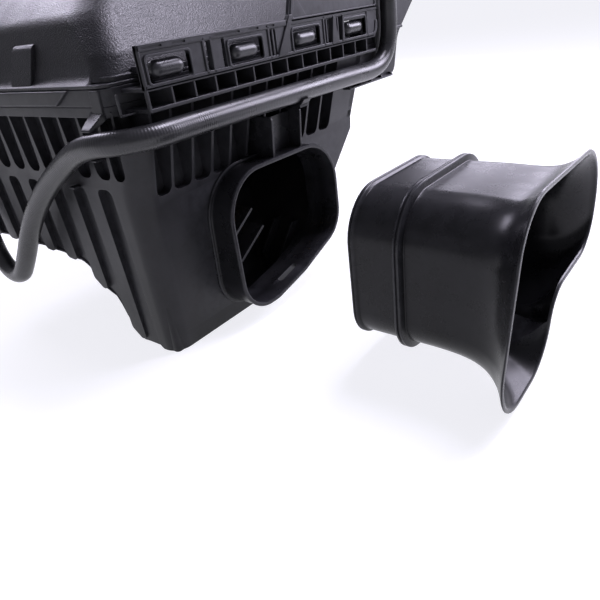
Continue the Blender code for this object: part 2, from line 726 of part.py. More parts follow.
def bracket_additions(store):
    x_upright = X_RIGHT + WEB_CLEAR_OF_COVER
    x_waist = X_RIGHT + WEB_WAIST
    x_ear = X_RIGHT + WEB_EAR
    web = [
        (X_WEB, Z_WEB_FOOT), (x_waist, Z_WEB_FOOT), (x_waist + 3 * WEB_THICK, Z_FLANGE + WEB_SETBACK),
        (x_ear - 5 * WEB_THICK, SEAM_HEIGHT + SHELF_REACH), (x_ear, WEB_TOP - 2 * LUG_FROM_TOP + WEB_THICK),
        (x_ear, WEB_TOP), (x_upright, WEB_TOP), (x_upright, Z_FLANGE + RAIL_THICK / 2),
        (X_WEB, Z_FLANGE + RAIL_THICK / 2),
    ]
    tool(slab(web, "Y", Y_WEB, Y_WEB + WEB_THICK), store)
    # The rim runs on into the web
    tool(box((X_TRAY_RIGHT - WALL, Y_WEB + WEB_THICK / 2, Z_FLANGE),
             (x_waist, Y_FRONT + SHELF_REACH, Z_FLANGE + 2 * RAIL_THICK)), store)
    # Stiffening ribs on the web's face, beside the hose
    x_rib = hose_point(0).x + HOSE_RADIUS + WEB_RIB_REACH
    tool(box((x_rib, Y_WEB - WEB_RIB_REACH, SEAM_HEIGHT),
             (x_rib + WEB_RIB_THICK, Y_WEB + WEB_THICK / 2, WEB_TOP)), store)
    tool(box((x_rib, Y_WEB - WEB_RIB_REACH, SEAM_HEIGHT - FIN_THICK),
             (x_waist + 3 * WEB_THICK, Y_WEB + WEB_THICK / 2, SEAM_HEIGHT)), store)
    # Kerb under the hose with its short ribs
    tool(box((X_WEB, Y_WEB - KERB_REACH, Z_WEB_FOOT),
             (x_waist, Y_WEB + WEB_THICK / 2, Z_WEB_FOOT + RAIL_THICK / 2)), store)
    count = int((x_waist - X_WEB) / MULLION_PITCH)
    for place in range(count + 1):
        low = X_WEB + place * MULLION_PITCH
        tool(box((low, Y_WEB - KERB_REACH + MULLION_INSET, Z_WEB_FOOT + RAIL_THICK / 4),
                 (low + MULLION_THICK, Y_WEB + WEB_THICK / 2, Z_WEB_FOOT + KERB_HEIGHT)), store)


def hose_route():
    return [Vector(place) * MM + Vector(start) for places, start in HOSE_STRETCHES for place in places]


def hose_point(number):
    return hose_route()[number]


def hose_additions(store):
    # Nipple on the bracket
    start = hose_point(0) + Vector((0, 0, PART_GAP))
    tool(rod(start, start + Vector((0, 0, NIPPLE_LENGTH)), NIPPLE_RADIUS, 16), store)
    tool(box((start.x - NIPPLE_RADIUS, start.y, start.z + WALL),
             (start.x + NIPPLE_RADIUS, Y_WEB + WEB_THICK / 2, start.z + NIPPLE_LENGTH)), store)
    # Nipple at the back of the left wall
    end = hose_point(-1) + Vector((0, 0, PART_GAP))
    tool(rod(end, end + Vector((0, 0, NIPPLE_LENGTH)), NIPPLE_RADIUS, 16), store)
    tool(box((end.x, end.y - NIPPLE_RADIUS, end.z + WALL),
             (CAVITY_LEFT - WALL / 2, end.y + NIPPLE_RADIUS, end.z + NIPPLE_LENGTH)), store)
    # Tongue at the front left corner, lying over the hose
    below = hose_point(HOOK_OVER_POINT)
    x_tip = below.x - HOOK_OVERHANG
    z_tip = below.z + HOSE_RADIUS + PART_GAP
    y_low = Y_SHELF + HOOK_START
    hook = (
        (X_LEFT + FIN_THICK, Z_FLANGE + HOOK_THICK), (X_LEFT, Z_FLANGE - HOOK_THICK / 2), (x_tip, z_tip),
        (x_tip, z_tip + HOOK_THICK / 2), (X_LEFT, Z_FLANGE + 1.5 * HOOK_THICK),
    )
    tool(slab(hook, "Y", y_low, y_low + HOOK_LENGTH), store)


def tray_openings(store):
    cavity = crossed("cavity", tray_side(True), tray_front(True), bpy.context.scene.collection)
    tool(cavity, store)
    seat = rounded_box(CAVITY_LEFT - LEDGE_WIDTH, CAVITY_RIGHT + LEDGE_WIDTH,
                       CAVITY_FRONT - LEDGE_WIDTH, CAVITY_BACK + LEDGE_WIDTH, RIM_CORNER, 4)
    tool(slab(seat, "Z", Z_LEDGE, SEAM_HEIGHT + FLANGE_HEIGHT), store)
    tool(slab(collar_outline(COLLAR_WALL), "Y", Y_SHELF - WALL, CAVITY_FRONT + WALL), store)
    # Windows, their relief slots and the slits beside them
    for place, middle in enumerate(window_middles()):
        half = WINDOW_WIDTH / 2
        window = rounded_box(middle - half, middle + half, Z_HINGE - WINDOW_HEIGHT / 2,
                             Z_HINGE + WINDOW_HEIGHT / 2, SLOT_FOOT_RADIUS / 3, 3)
        tool(slab(window, "Y", Y_SHELF - WALL, Y_SHELF + PLATE_THICK + WALL), store)
        z_slot = Z_HINGE + WINDOW_HEIGHT / 2 + RELIEF_SLOT_GAP
        for side in (-1, 1):
            x_slot = middle + side * (RELIEF_SLOT_WIDTH + RELIEF_SLOT_GAP) / 2
            tool(box((x_slot - RELIEF_SLOT_WIDTH / 2, Y_SHELF - WALL, z_slot),
                     (x_slot + RELIEF_SLOT_WIDTH / 2, Y_SHELF + PLATE_THICK + WALL,
                      z_slot + RELIEF_SLOT_HEIGHT)), store)
        if place:
            x_slit = middle - PLATE_SLIT_OFFSETS[place - 1]
            tool(box((x_slit - PLATE_SLIT_WIDTH / 2, Y_SHELF - WALL, Z_UPPER_RAIL + RAIL_THICK / 2),
                     (x_slit + PLATE_SLIT_WIDTH / 2, Y_SHELF + PLATE_THICK + WALL, z_slot)), store)
    # Drain slot in the collar's sloping lower wall
    x_slot = X_COLLAR + DRAIN_SLOT_X - DRAIN_SLOT_LENGTH / 2
    y_slot = Y_SHELF + DRAIN_SLOT_FROM_LIP
    drain = rounded_box(x_slot, x_slot + DRAIN_SLOT_LENGTH, y_slot, y_slot + DRAIN_SLOT_WIDTH,
                        DRAIN_SLOT_WIDTH / 2.1, 4)
    tool(slab(drain, "Z", 0.0, COLLAR_BASE + COLLAR_SIDE_RISE), store)
    for x, y in SCREWS:
        tool(rod((x, y, SEAM_HEIGHT - INSERT_LENGTH - SEAT_GAP), (x, y, SEAM_HEIGHT + WALL),
                 INSERT_RADIUS + BORE_GAP), store)
        tool(rod((x, y, Z_FLANGE - WALL), (x, y, SEAM_HEIGHT), SHANK_RADIUS + BORE_GAP), store)
    for x, y in LEGS:
        tool(rod((x, y, 0.0), (x, y, FOOT_HEIGHT + FOOT_PEG_LENGTH + SEAT_GAP),
                 FOOT_PEG_RADIUS + BORE_GAP), store)
    reach = Vector((0, 4 * WEB_THICK, 0))
    tool(rod(LUG_CENTRE - reach, LUG_CENTRE + reach, GROMMET_NECK_RADIUS + BORE_GAP, 24), store)


def tray_vanes(store):
    """Ribs up the inside of the sump's right slope, seen through the collar."""
    x_sump = X_LEFT + SIDE_DRAFT + SUMP_WIDTH
    foot = Vector((x_sump, 0.0))
    up = (Vector((X_TRAY_RIGHT - RIGHT_DRAFT, RIGHT_KNEE_HEIGHT)) - foot).normalized()
    inward = Vector((-up.y, up.x))
    low = foot + up * WALL * 2 + inward * WALL / 2
    rise = inward * (WALL / 2 + VANE_RISE)
    tip = low + up * (VANE_LENGTH - VANE_RISE) + rise
    shape = [low, low + up * VANE_LENGTH, tip, low + up * WALL * 2 + rise]
    for place in range(VANE_COUNT):
        y = Y_FRONT + VANE_START + place * VANE_PITCH
        tool(slab([tuple(p) for p in shape], "Y", y, y + VANE_THICK), store)


def lower_housing(home, material):
    slots = new_collection("tray_slots")
    additions = new_collection("tray_additions")
    openings = new_collection("tray_openings")
    vanes = new_collection("tray_vanes")
    tray_slots(slots)
    tray_additions(additions)
    tray_openings(openings)
    tray_vanes(vanes)
    body = put("lower_housing", tray_body(), home, material)
    return [(body, "DIFFERENCE", slots), (body, "UNION", additions), (body, "DIFFERENCE", openings),
            (body, "UNION", vanes)]


def cover_profiles(inset):
    """Side and front profiles of the dome, outside or one wall inside."""
    base = Z_PLATE_TOP - COVER_PLATE / 2
    top = Z_PLATE_TOP + COVER_HEIGHT - inset
    lip = Z_PLATE_TOP + COVER_FRONT_LIP
    y_front = Y_FRONT + COVER_FRONT_INSET + inset
    y_lip = y_front + COVER_FRONT_LIP_LEAN
    y_top = y_lip + COVER_FRONT_SLOPE
    y_back = Y_BACK - COVER_BACK_INSET - inset
    low = base - (COVER_PLATE if inset else 0.0)
    side = [
        (y_front, low), (y_back, low), (y_back - COVER_BACK_LEAN, top), (y_top, top), (y_lip, lip),
    ]
    x_left = X_LEFT + COVER_LEFT_INSET + inset
    x_right = X_RIGHT - COVER_SIDE_INSET - inset
    front = [
        (x_left, low), (x_right, low), (x_right - COVER_SIDE_LEAN, top - COVER_SHOULDER),
        (x_right - COVER_SIDE_LEAN - COVER_SHOULDER, top), (x_left + COVER_LEFT_LEAN + COVER_LEFT_RUN, top),
        (x_left + COVER_LEFT_LEAN, top - COVER_LEFT_SHOULDER),
    ]
    return side, front


def left_wall(z):
    """Where the outside of the cover's leaning left wall is at a height."""
    foot = Z_PLATE_TOP - COVER_PLATE / 2
    rise = Z_PLATE_TOP + COVER_HEIGHT - COVER_LEFT_SHOULDER - foot
    return X_LEFT + COVER_LEFT_INSET + COVER_LEFT_LEAN * (z - foot) / rise


def cover_dome():
    side, front = cover_profiles(0.0)
    mesh = crossed("dome_blank", side, front, bpy.context.scene.collection)
    round_edges(mesh, lambda a, b: a.z > -0.5 and b.z > -0.5 and a.dot(b) < 0.9, COVER_EDGE, 3)
    return mesh


def upper_cover(home, material):
    additions = new_collection("cover_additions")
    openings = new_collection("cover_openings")
    rim = rounded_box(X_LEFT, X_RIGHT, Y_FRONT, Y_BACK, RIM_CORNER, 4)
    tool(slab(rim, "Z", Z_COVER, Z_COVER + COVER_FLANGE), additions)
    step = COVER_FLANGE_WIDTH
    plate = rounded_box(X_LEFT + step, X_RIGHT - step, Y_FRONT + step, Y_BACK - step, RIM_CORNER - step, 4)
    tool(slab(plate, "Z", Z_COVER + COVER_FLANGE / 2, Z_PLATE_TOP), additions)
    for x, y in SCREWS:
        tool(rod((x, y, Z_COVER), (x, y, Z_COVER + LUG_RISE), LUG_RADIUS), additions)
    for middle in window_middles():
        half = BARREL_LENGTH / 2
        tool(rod((middle - half, Y_HINGE, Z_HINGE), (middle + half, Y_HINGE, Z_HINGE),
                 BARREL_RADIUS, 16), additions)
        tool(box((middle - TONGUE_WIDTH / 2, Y_HINGE, Z_HINGE - TONGUE_THICK / 2),
                 (middle + TONGUE_WIDTH / 2, Y_FRONT + COVER_FRONT_INSET + COVER_WALL / 2,
                  Z_HINGE + TONGUE_THICK / 2)), additions)
    # Hollow foot along the left wall, and the buttresses on it
    z_foot = Z_COVER + COVER_FLANGE / 2
    z_cove = Z_PLATE_TOP + COVE_HEIGHT
    x_foot = X_LEFT + COVER_LEFT_INSET
    cove = (
        (X_LEFT + COVE_EDGE, z_foot), (left_wall(z_cove) + COVER_WALL, z_foot),
        (left_wall(z_cove) + COVER_WALL, z_cove), (left_wall(z_cove) + COVE_EDGE / 2, z_cove),
        (x_foot + COVE_EDGE / 2, Z_PLATE_TOP), (x_foot - COVER_LEFT_INSET / 3, Z_COVER + COVER_PLATE / 2),
    )
    tool(slab(cove, "Y", Y_FRONT + 2 * RIM_CORNER, Y_BACK - 2 * RIM_CORNER), additions)
    for place in range(BUTTRESS_COUNT):
        low = Y_FRONT + BUTTRESS_START + place * BUTTRESS_PITCH
        z_top = Z_PLATE_TOP + BUTTRESS_HEIGHT
        rib = ((left_wall(z_foot) - BUTTRESS_PROUD, z_foot), (left_wall(z_foot) + COVER_WALL / 2, z_foot),
               (left_wall(z_top) + COVER_WALL / 2, z_top), (left_wall(z_top) - BUTTRESS_PROUD, z_top))
        tool(slab(rib, "Y", low, low + BUTTRESS_WIDTH), additions)
    # Outlet spigot with its hose bead
    x_out = X_LEFT + OUTLET_FROM_LEFT
    y_out = Y_FRONT + OUTLET_FROM_FRONT
    z_roof = Z_PLATE_TOP + COVER_HEIGHT
    tip = z_roof + OUTLET_RISE
    tool(rod((x_out, y_out, z_roof - COVER_WALL), (x_out, y_out, tip), OUTLET_RADIUS, 40), additions)
    tool(rod((x_out, y_out, tip - 4 * OUTLET_BEAD), (x_out, y_out, tip - OUTLET_BEAD),
             OUTLET_RADIUS + OUTLET_BEAD, 40), additions)
    side, front = cover_profiles(COVER_WALL)
    inside = crossed("cover_inside", side, front, bpy.context.scene.collection)
    roof = Z_PLATE_TOP - COVER_WALL
    trimmed = put("cover_inside", inside, bpy.context.scene.collection)
    store = new_collection("cover_inside_trim")
    tool(box((-1.0, -1.0, -1.0), (1.0, 1.0, roof)), store)
    boolean(trimmed, "DIFFERENCE", store)
    tool(evaluated_mesh(trimmed), openings)
    bpy.data.objects.remove(trimmed)
    seal = seal_inner()
    lap = SEAL_WIDTH - COVER_LAP - LEDGE_WIDTH
    mouth = rounded_box(seal[0] - lap, seal[1] + lap, seal[2] - lap, seal[3] + lap, RIM_CORNER, 4)
    tool(slab(mouth, "Z", Z_COVER - WALL, roof + COVER_WALL), openings)
    tool(rod((x_out, y_out, z_roof - 4 * COVER_WALL), (x_out, y_out, tip + WALL),
             OUTLET_RADIUS - OUTLET_WALL, 40), openings)
    for x, y in SCREWS:
        tool(rod((x, y, Z_COVER - WALL), (x, y, Z_COVER + LUG_RISE + WALL),
                 SLEEVE_RADIUS + BORE_GAP), openings)
    hinge = bpy.data.objects.new("cover_hinge", None)
    hinge.location = (0.0, Y_HINGE, Z_HINGE)
    home.objects.link(hinge)
    body = put("upper_cover", cover_dome(), home, material)
    body.parent = hinge
    body.matrix_parent_inverse = Matrix.Translation(hinge.location).inverted()
    return hinge, [(body, "UNION", additions), (body, "DIFFERENCE", openings)]


def seal_inner():
    """Left, right, front and back of the seal's inner edge."""
    edge = LEDGE_WIDTH - SEAT_GAP - SEAL_WIDTH
    return (CAVITY_LEFT - edge, CAVITY_RIGHT + edge, CAVITY_FRONT - edge, CAVITY_BACK + edge)


def filter_seal(home, material):
    inner = seal_inner()
    outer = rounded_box(inner[0] - SEAL_WIDTH, inner[1] + SEAL_WIDTH, inner[2] - SEAL_WIDTH,
                        inner[3] + SEAL_WIDTH, RIM_CORNER - SEAT_GAP, 4)
    body = put("filter_seal", slab(outer, "Z", Z_LEDGE + PART_GAP, SEAM_HEIGHT), home, material)
    store = new_collection("seal_opening")
    tool(box((inner[0], inner[2], 0.0), (inner[1], inner[3], 2 * SEAM_HEIGHT)), store)
    return [(body, "DIFFERENCE", store)]


def filter_media(home, material):
    left, right, front, back = seal_inner()
    left += PART_GAP
    right -= PART_GAP
    top = SEAM_HEIGHT - MEDIA_TOP_DROP
    step = (right - left) / (2 * PLEAT_COUNT)
    # The paper's thickness measured up and down, at a fold
    rise = PAPER_THICK * math.hypot(step, MEDIA_HEIGHT) / step
    upper = []
    lower = []
    for fold in range(2 * PLEAT_COUNT + 1):
        x = left + fold * step
        drop = 0.0 if fold % 2 == 0 else MEDIA_HEIGHT - rise
        upper.append((x, top - drop))
        lower.append((x, top - drop - rise))
    outline = upper + lower[::-1]
    put("filter_media", slab(outline, "Y", front + PART_GAP, back - PART_GAP), home, material)


def loft(rings):
    """A closed skin over rings of the same number of points, joined end to end."""
    def build(work):
        rows = [[work.verts.new(point) for point in ring] for ring in rings]
        for here, row in enumerate(rows):
            after = rows[(here + 1) % len(rows)]
            for side in range(len(row)):
                other = (side + 1) % len(row)
                work.faces.new((row[side], row[other], after[other], after[side]))
        bmesh.ops.recalc_face_normals(work, faces=work.faces)

    return from_bmesh("loft", build)


def inlet_duct(home, material):
    neck = collar_outline(COLLAR_WALL + SEAT_GAP + BEAD_HEIGHT)
    mouth = flare_outline()

    def section(y, blend, outset, droop=0.0):
        points = [(a - Vector((0.0, droop))).lerp(b, blend) for a, b in zip(neck, mouth)]
        return [(p.x, y, p.y) for p in shifted(points, outset)]

    tip = Y_SHELF - DUCT_PULL + NECK_LENGTH
    stop = tip - NECK_LENGTH
    body = stop - STOP_RIB_WIDTH
    flare = body - BODY_LENGTH
    rim = flare - FLARE_LENGTH
    rib = COLLAR_WALL + BEAD_HEIGHT
    soft = BEAD_WIDTH / 4
    outer = [
        section(tip, 0.0, 0.0), section(tip - soft, 0.0, BEAD_HEIGHT),
        section(tip - BEAD_WIDTH + soft, 0.0, BEAD_HEIGHT), section(tip - BEAD_WIDTH, 0.0, 0.0),
        section(stop, 0.0, 0.0), section(stop - soft / 3, 0.0, rib), section(body + soft, 0.0, rib),
        section(body, 0.0, 0.0),
    ]
    # The body sinks a little and opens slowly, then the bell opens quickly at the mouth
    def bell(share, outset):
        y = body + (rim - body) * (BODY_START + (1.0 - BODY_START) * share)
        return section(y, 0.05 * share + 0.95 * share ** 4.5, outset, BODY_DROOP * share)

    turns = 7
    outer += [bell(turn / turns, 0.0) for turn in range(turns + 1)]
    roll = [section(rim - FLARE_ROLL, 1.0, out) for out in (FLARE_ROLL / 2, -DUCT_WALL / 2)]
    inner = [bell(turn / turns, -DUCT_WALL) for turn in (7, 6, 5, 4, 2, 0)]
    inner.append(section(tip, 0.0, -DUCT_WALL))
    slide = bpy.data.objects.new("duct_slide", None)
    slide.location = (X_COLLAR + COLLAR_WIDTH / 2, tip, COLLAR_BASE + COLLAR_HEIGHT / 2)
    home.objects.link(slide)
    made = put("inlet_duct", loft(outer + roll + inner), home, material)
    smooth(made)
    made.parent = slide
    made.matrix_parent_inverse = Matrix.Translation(slide.location).inverted()


def catmull(a, b, c, d, t):
    second = 2 * a - 5 * b + 4 * c - d
    third = 3 * b - a - 3 * c + d
    return 0.5 * (2 * b + (c - a) * t + second * t * t + third * t ** 3)


def smooth_route():
    """Points at equal steps along the smooth curve through the hose's route."""
    points = hose_route()
    points = [2 * points[0] - points[1]] + points + [2 * points[-1] - points[-2]]
    dense = []
    share = 24
    for here in range(1, len(points) - 2):
        for part in range(share):
            dense.append(catmull(*points[here - 1:here + 3], part / share))
    dense.append(points[-2])
    length = sum((b - a).length for a, b in zip(dense, dense[1:]))
    steps = round(length / HOSE_STEP)
    wanted = [length * step / steps for step in range(steps + 1)]
    route = [dense[0]]
    run = 0.0
    for a, b in zip(dense, dense[1:]):
        run += (b - a).length
        while len(route) < steps and run >= wanted[len(route)]:
            route.append(b)
    route.append(dense[-1])
    return route


def breather_hose(home, material):
    curve = bpy.data.curves.new("breather_hose", "CURVE")
    curve.dimensions = "3D"
    curve.bevel_depth = HOSE_RADIUS
    curve.bevel_resolution = 2
    curve.use_fill_caps = True
    route = smooth_route()
    spline = curve.splines.new("POLY")
    spline.points.add(len(route) - 1)
    for point, place in zip(spline.points, route):
        point.co = (*place, 1.0)
    made = bpy.data.objects.new("breather_hose", curve)
    home.objects.link(made)
    curve.materials.append(material)


def ring_mesh(start, end, outer, inner, sides=24):
    """A plain tube between two points, turned from one profile."""
    start, end = Vector(start), Vector(end)
    length = (end - start).length
    return turned(start, end - start, [(outer, length), (outer, 0.0), (inner, 0.0), (inner, length)], sides)


def turned(foot, axis, profile, sides=24):
    """A closed profile of radius and height, turned about an axis through its foot."""
    mesh = bpy.data.meshes.new("profile")
    count = len(profile)
    edges = []
    for here in range(count):
        after = (here + 1) % count
        if profile[here][0] > 0.0 or profile[after][0] > 0.0:
            edges.append((here, after))
    mesh.from_pydata([(radius, 0.0, height) for radius, height in profile], edges, [])
    guide = bpy.data.objects.new("profile", mesh)
    bpy.context.scene.collection.objects.link(guide)
    screw = guide.modifiers.new("turn", "SCREW")
    screw.axis = "Z"
    screw.steps = sides
    screw.render_steps = sides
    screw.use_merge_vertices = True
    screw.merge_threshold = 0.00001
    made = evaluated_mesh(guide)
    bpy.data.objects.remove(guide)
    turn = Vector(axis).to_track_quat("Z", "Y").to_matrix().to_4x4()
    made.transform(Matrix.Translation(foot) @ turn)
    return welded_round(made)


def welded_round(mesh):
    work = bmesh.new()
    work.from_mesh(mesh)
    bmesh.ops.remove_doubles(work, verts=work.verts, dist=1e-6)
    bmesh.ops.recalc_face_normals(work, faces=work.faces)
    work.to_mesh(mesh)
    work.free()
    return mesh


def hose_clamp(name, end, along, ear_side, home, material):
    """A spring band round the hose with its two squeeze ears."""
    along = Vector(along)
    start = end + along * CLAMP_FROM_END
    inner = HOSE_RADIUS + PART_GAP
    hoop = ring_mesh(start, start + along * CLAMP_BAND, inner + CLAMP_THICK, inner)
    band = put(name, hoop, home, material)
    store = new_collection(name + "_ears")
    side = Vector(ear_side)
    across = along.cross(side)
    for place in (-1, 1):
        foot = start + along * CLAMP_BAND / 2 + side * (inner + CLAMP_THICK / 2)
        middle = foot + across * place * CLAMP_EAR / 2 + side * CLAMP_EAR / 2
        half = along * CLAMP_BAND / 4 + across * CLAMP_THICK / 2 + side * CLAMP_EAR / 2
        half = Vector([abs(value) for value in half])
        tool(box(middle - half, middle + half), store)
    return [(band, "UNION", store)]


def hose_clip(home, material):
    """A saddle clip under the hose with a foot over the cradle's right wall."""
    x_wall = X_COLLAR + CRADLE_LEFT + CRADLE_WIDTH + CRADLE_THICK / 2
    route = smooth_route()
    near = min(route, key=lambda p: abs(p.x - x_wall) + abs(p.y - Y_SHELF))
    middle = Vector((x_wall, near.y, near.z))
    half = Vector((CLIP_WIDTH / 2, 0, 0))
    inner = HOSE_RADIUS + SEAT_GAP
    outer = inner + CLIP_THICK
    band = ring_mesh(middle - half, middle + half, outer, inner)
    saddle = put("hose_clip", band, home, material)
    upper = new_collection("clip_upper")
    tool(box((x_wall - CLIP_WIDTH, middle.y - 2 * outer, middle.z - CLIP_ARC_SHARE * inner),
             (x_wall + CLIP_WIDTH, middle.y + 2 * outer, middle.z + 2 * outer)), upper)
    foot = new_collection("clip_foot")
    tool(box((x_wall - CLIP_WIDTH / 2, middle.y - inner / 2, cradle_top() + PART_GAP),
             (x_wall + CLIP_WIDTH / 2, middle.y + inner / 2, middle.z - inner - CLIP_THICK / 2)), foot)
    return [(saddle, "DIFFERENCE", upper), (saddle, "UNION", foot)]


def cover_screws(home, hinge, steel, brass):
    for number, (x, y) in enumerate(SCREWS, 1):
        insert_top = SEAM_HEIGHT - PART_GAP
        put(f"screw_insert_{number}",
            ring_mesh((x, y, insert_top - INSERT_LENGTH), (x, y, insert_top), INSERT_RADIUS,
                      SHANK_RADIUS + BORE_GAP),
            home, brass)
        sleeve_top = Z_COVER + LUG_RISE + PART_GAP
        sleeve = put(f"screw_sleeve_{number}",
                     ring_mesh((x, y, Z_COVER), (x, y, sleeve_top), SLEEVE_RADIUS,
                               SLEEVE_RADIUS - SLEEVE_WALL),
                     home, steel)
        seat = sleeve_top + PART_GAP
        profile = [
            (SOCKET_RADIUS, seat + HEAD_HEIGHT), (HEAD_RADIUS - SOCKET_DEPTH / 2, seat + HEAD_HEIGHT),
            (HEAD_RADIUS, seat + HEAD_HEIGHT / 2), (HEAD_RADIUS, seat), (SHANK_RADIUS, seat),
            (SHANK_RADIUS, seat - SHANK_LENGTH + SHANK_RADIUS), (0.0, seat - SHANK_LENGTH),
            (0.0, seat + HEAD_HEIGHT - SOCKET_DEPTH), (SOCKET_RADIUS, seat + HEAD_HEIGHT - SOCKET_DEPTH),
        ]
        profile = [(radius, height - seat) for radius, height in profile]
        screw = put(f"lid_screw_{number}", turned((0, 0, 0), (0, 0, 1), profile, 18), home, steel)
        screw.location = (x, y, seat)
        for piece in (sleeve, screw):
            piece.parent = hinge
            piece.matrix_parent_inverse = Matrix.Translation(hinge.location).inverted()


def lug_parts(home, rubber, steel):
    side = GROMMET_FLANGE + WEB_THICK / 2 + PART_GAP
    neck = WEB_THICK / 2 + PART_GAP
    profile = [
        (GROMMET_RADIUS, side), (GROMMET_RADIUS, neck), (GROMMET_NECK_RADIUS, neck),
        (GROMMET_NECK_RADIUS, -neck),
        (GROMMET_RADIUS, -neck), (GROMMET_RADIUS, -side), (GROMMET_BORE_RADIUS, -side),
        (GROMMET_BORE_RADIUS, side),
    ]
    put("lug_grommet", turned(LUG_CENTRE, (0, 1, 0), profile), home, rubber)
    outer = GROMMET_BORE_RADIUS - PART_GAP
    half = Vector((0, side, 0))
    tube = ring_mesh(LUG_CENTRE - half, LUG_CENTRE + half, outer, outer - LUG_SLEEVE_WALL)
    put("lug_sleeve", tube, home, steel)


def rubber_feet(home, rubber):
    for number, (x, y) in enumerate(LEGS, 1):
        profile = [
            (0.0, FOOT_HEIGHT + FOOT_PEG_LENGTH), (FOOT_PEG_RADIUS, FOOT_HEIGHT + FOOT_PEG_LENGTH),
            (FOOT_PEG_RADIUS, FOOT_HEIGHT), (FOOT_RADIUS, FOOT_HEIGHT), (FOOT_RADIUS, 0.0), (0.0, 0.0),
        ]
        put(f"rubber_foot_{number}", turned((x, y, 0.0), (0, 0, 1), profile), home, rubber)


def main():
    clear_scene()
    home = new_collection("air_filter_housing")
    charcoal = plastic("charcoal_plastic", (0.035, 0.035, 0.039), 0.5)
    grained = plastic("grained_plastic", (0.045, 0.044, 0.05), 0.55)
    glossy = plastic("glossy_black", (0.015, 0.015, 0.017), 0.3)
    rubber = plastic("black_rubber", (0.02, 0.02, 0.021), 0.7)
    hose = plastic("hose_rubber", (0.03, 0.029, 0.031), 0.45)
    paper = plastic("filter_paper", (0.78, 0.72, 0.55), 0.9)
    foam = plastic("seal_foam", (0.55, 0.1, 0.05), 0.8)
    steel = plastic("zinc_steel", (0.6, 0.6, 0.62), 0.35, 1.0)
    brass = plastic("brass", (0.7, 0.5, 0.22), 0.35, 1.0)
    joins = lower_housing(home, charcoal)
    hinge, cover_joins = upper_cover(home, grained)
    joins += cover_joins
    joins += filter_seal(home, foam)
    filter_media(home, paper)
    inlet_duct(home, glossy)
    breather_hose(home, hose)
    joins += hose_clamp("hose_clamp_right", hose_point(0), (0, 0, -1), (1, 0, 0), home, steel)
    joins += hose_clamp("hose_clamp_rear", hose_point(-1), (0, 0, -1), (0, 1, 0), home, steel)
    joins += hose_clip(home, charcoal)
    cover_screws(home, hinge, steel, brass)
    lug_parts(home, rubber, steel)
    rubber_feet(home, rubber)
    # The cuts and joins go on last, so that each is worked out once
    for body, operation, store in joins:
        boolean(body, operation, store)


main()
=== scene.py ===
import json
import math

import bmesh
import bpy
from mathutils import Matrix, Vector

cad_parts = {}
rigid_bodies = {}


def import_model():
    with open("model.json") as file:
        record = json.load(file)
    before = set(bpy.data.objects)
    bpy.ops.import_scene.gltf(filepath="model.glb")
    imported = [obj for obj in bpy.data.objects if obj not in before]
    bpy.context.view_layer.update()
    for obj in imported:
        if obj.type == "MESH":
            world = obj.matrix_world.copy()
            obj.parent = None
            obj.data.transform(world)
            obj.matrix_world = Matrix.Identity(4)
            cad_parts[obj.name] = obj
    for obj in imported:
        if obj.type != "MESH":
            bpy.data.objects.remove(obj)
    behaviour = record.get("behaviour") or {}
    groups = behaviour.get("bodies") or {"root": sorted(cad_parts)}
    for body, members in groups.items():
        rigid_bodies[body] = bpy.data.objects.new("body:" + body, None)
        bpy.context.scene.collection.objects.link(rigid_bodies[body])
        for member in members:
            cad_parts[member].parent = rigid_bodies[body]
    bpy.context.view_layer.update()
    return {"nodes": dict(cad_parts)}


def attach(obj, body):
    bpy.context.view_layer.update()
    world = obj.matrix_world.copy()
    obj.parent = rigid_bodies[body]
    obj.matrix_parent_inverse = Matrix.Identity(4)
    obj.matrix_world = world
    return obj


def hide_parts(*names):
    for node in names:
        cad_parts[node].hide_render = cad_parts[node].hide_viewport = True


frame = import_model()
home = bpy.context.scene.collection
mm = 0.001  # shapes are drawn in millimetres and scaled once, when a piece is finished
xAxis, yAxis, zAxis = (1, 0, 0), (0, 1, 0), (0, 0, 1)
print("frame loaded,", len(frame["nodes"]), "nodes")

# camera, solved from the photo
shot = {
    "place": (-0.2438, -0.3082, 0.2110),
    "right": (0.60251, -0.78892, -0.12076),
    "up": (0.44345, 0.20512, 0.87251),
    "back": (-0.66357, -0.57925, 0.47343),
    "lens": 33.04, "sensor": 36.0, "clipStart": 0.01,
}
camData = bpy.data.cameras.new("photoCamera")
camData.lens = shot["lens"]
camData.sensor_width = shot["sensor"]
camData.clip_start = shot["clipStart"]
camera = bpy.data.objects.new("photoCamera", camData)
home.objects.link(camera)
turned = Matrix((shot["right"], shot["up"], shot["back"])).transposed().to_4x4()
camera.matrix_world = Matrix.Translation(shot["place"]) @ turned
bpy.context.scene.camera = camera
print("camera set")


# shape helpers: every mesh they give is closed and in millimetres
def meshFrom(build):
    bm = bmesh.new()
    build(bm)
    bmesh.ops.remove_doubles(bm, verts=bm.verts, dist=1e-4)
    bmesh.ops.delete(bm, geom=[e for e in bm.edges if not e.link_faces], context="EDGES")
    bmesh.ops.recalc_face_normals(bm, faces=bm.faces)
    mesh = bpy.data.meshes.new("shape")
    bm.to_mesh(mesh)
    bm.free()
    return mesh


def edited(mesh, change):
    bm = bmesh.new()
    bm.from_mesh(mesh)
    change(bm)
    bm.to_mesh(mesh)
    bm.free()
    return mesh


def at(axis, a, b, depth):
    return {"X": (depth, a, b), "Y": (a, depth, b), "Z": (a, b, depth)}[axis]


def skinned(rings, loop=True):
    # a skin over rings of equal count, joined back on itself or capped
    def build(bm):
        rows = [[bm.verts.new(p) for p in ring] for ring in rings]
        pairs = list(zip(rows, rows[1:])) + ([(rows[-1], rows[0])] if loop else [])
        for one, two in pairs:
            for here in range(len(one)):
                after = (here + 1) % len(one)
                bm.faces.new((one[here], one[after], two[after], two[here]))
        if not loop:
            bm.faces.new(rows[0])
            bm.faces.new(rows[-1][::-1])
    return meshFrom(build)


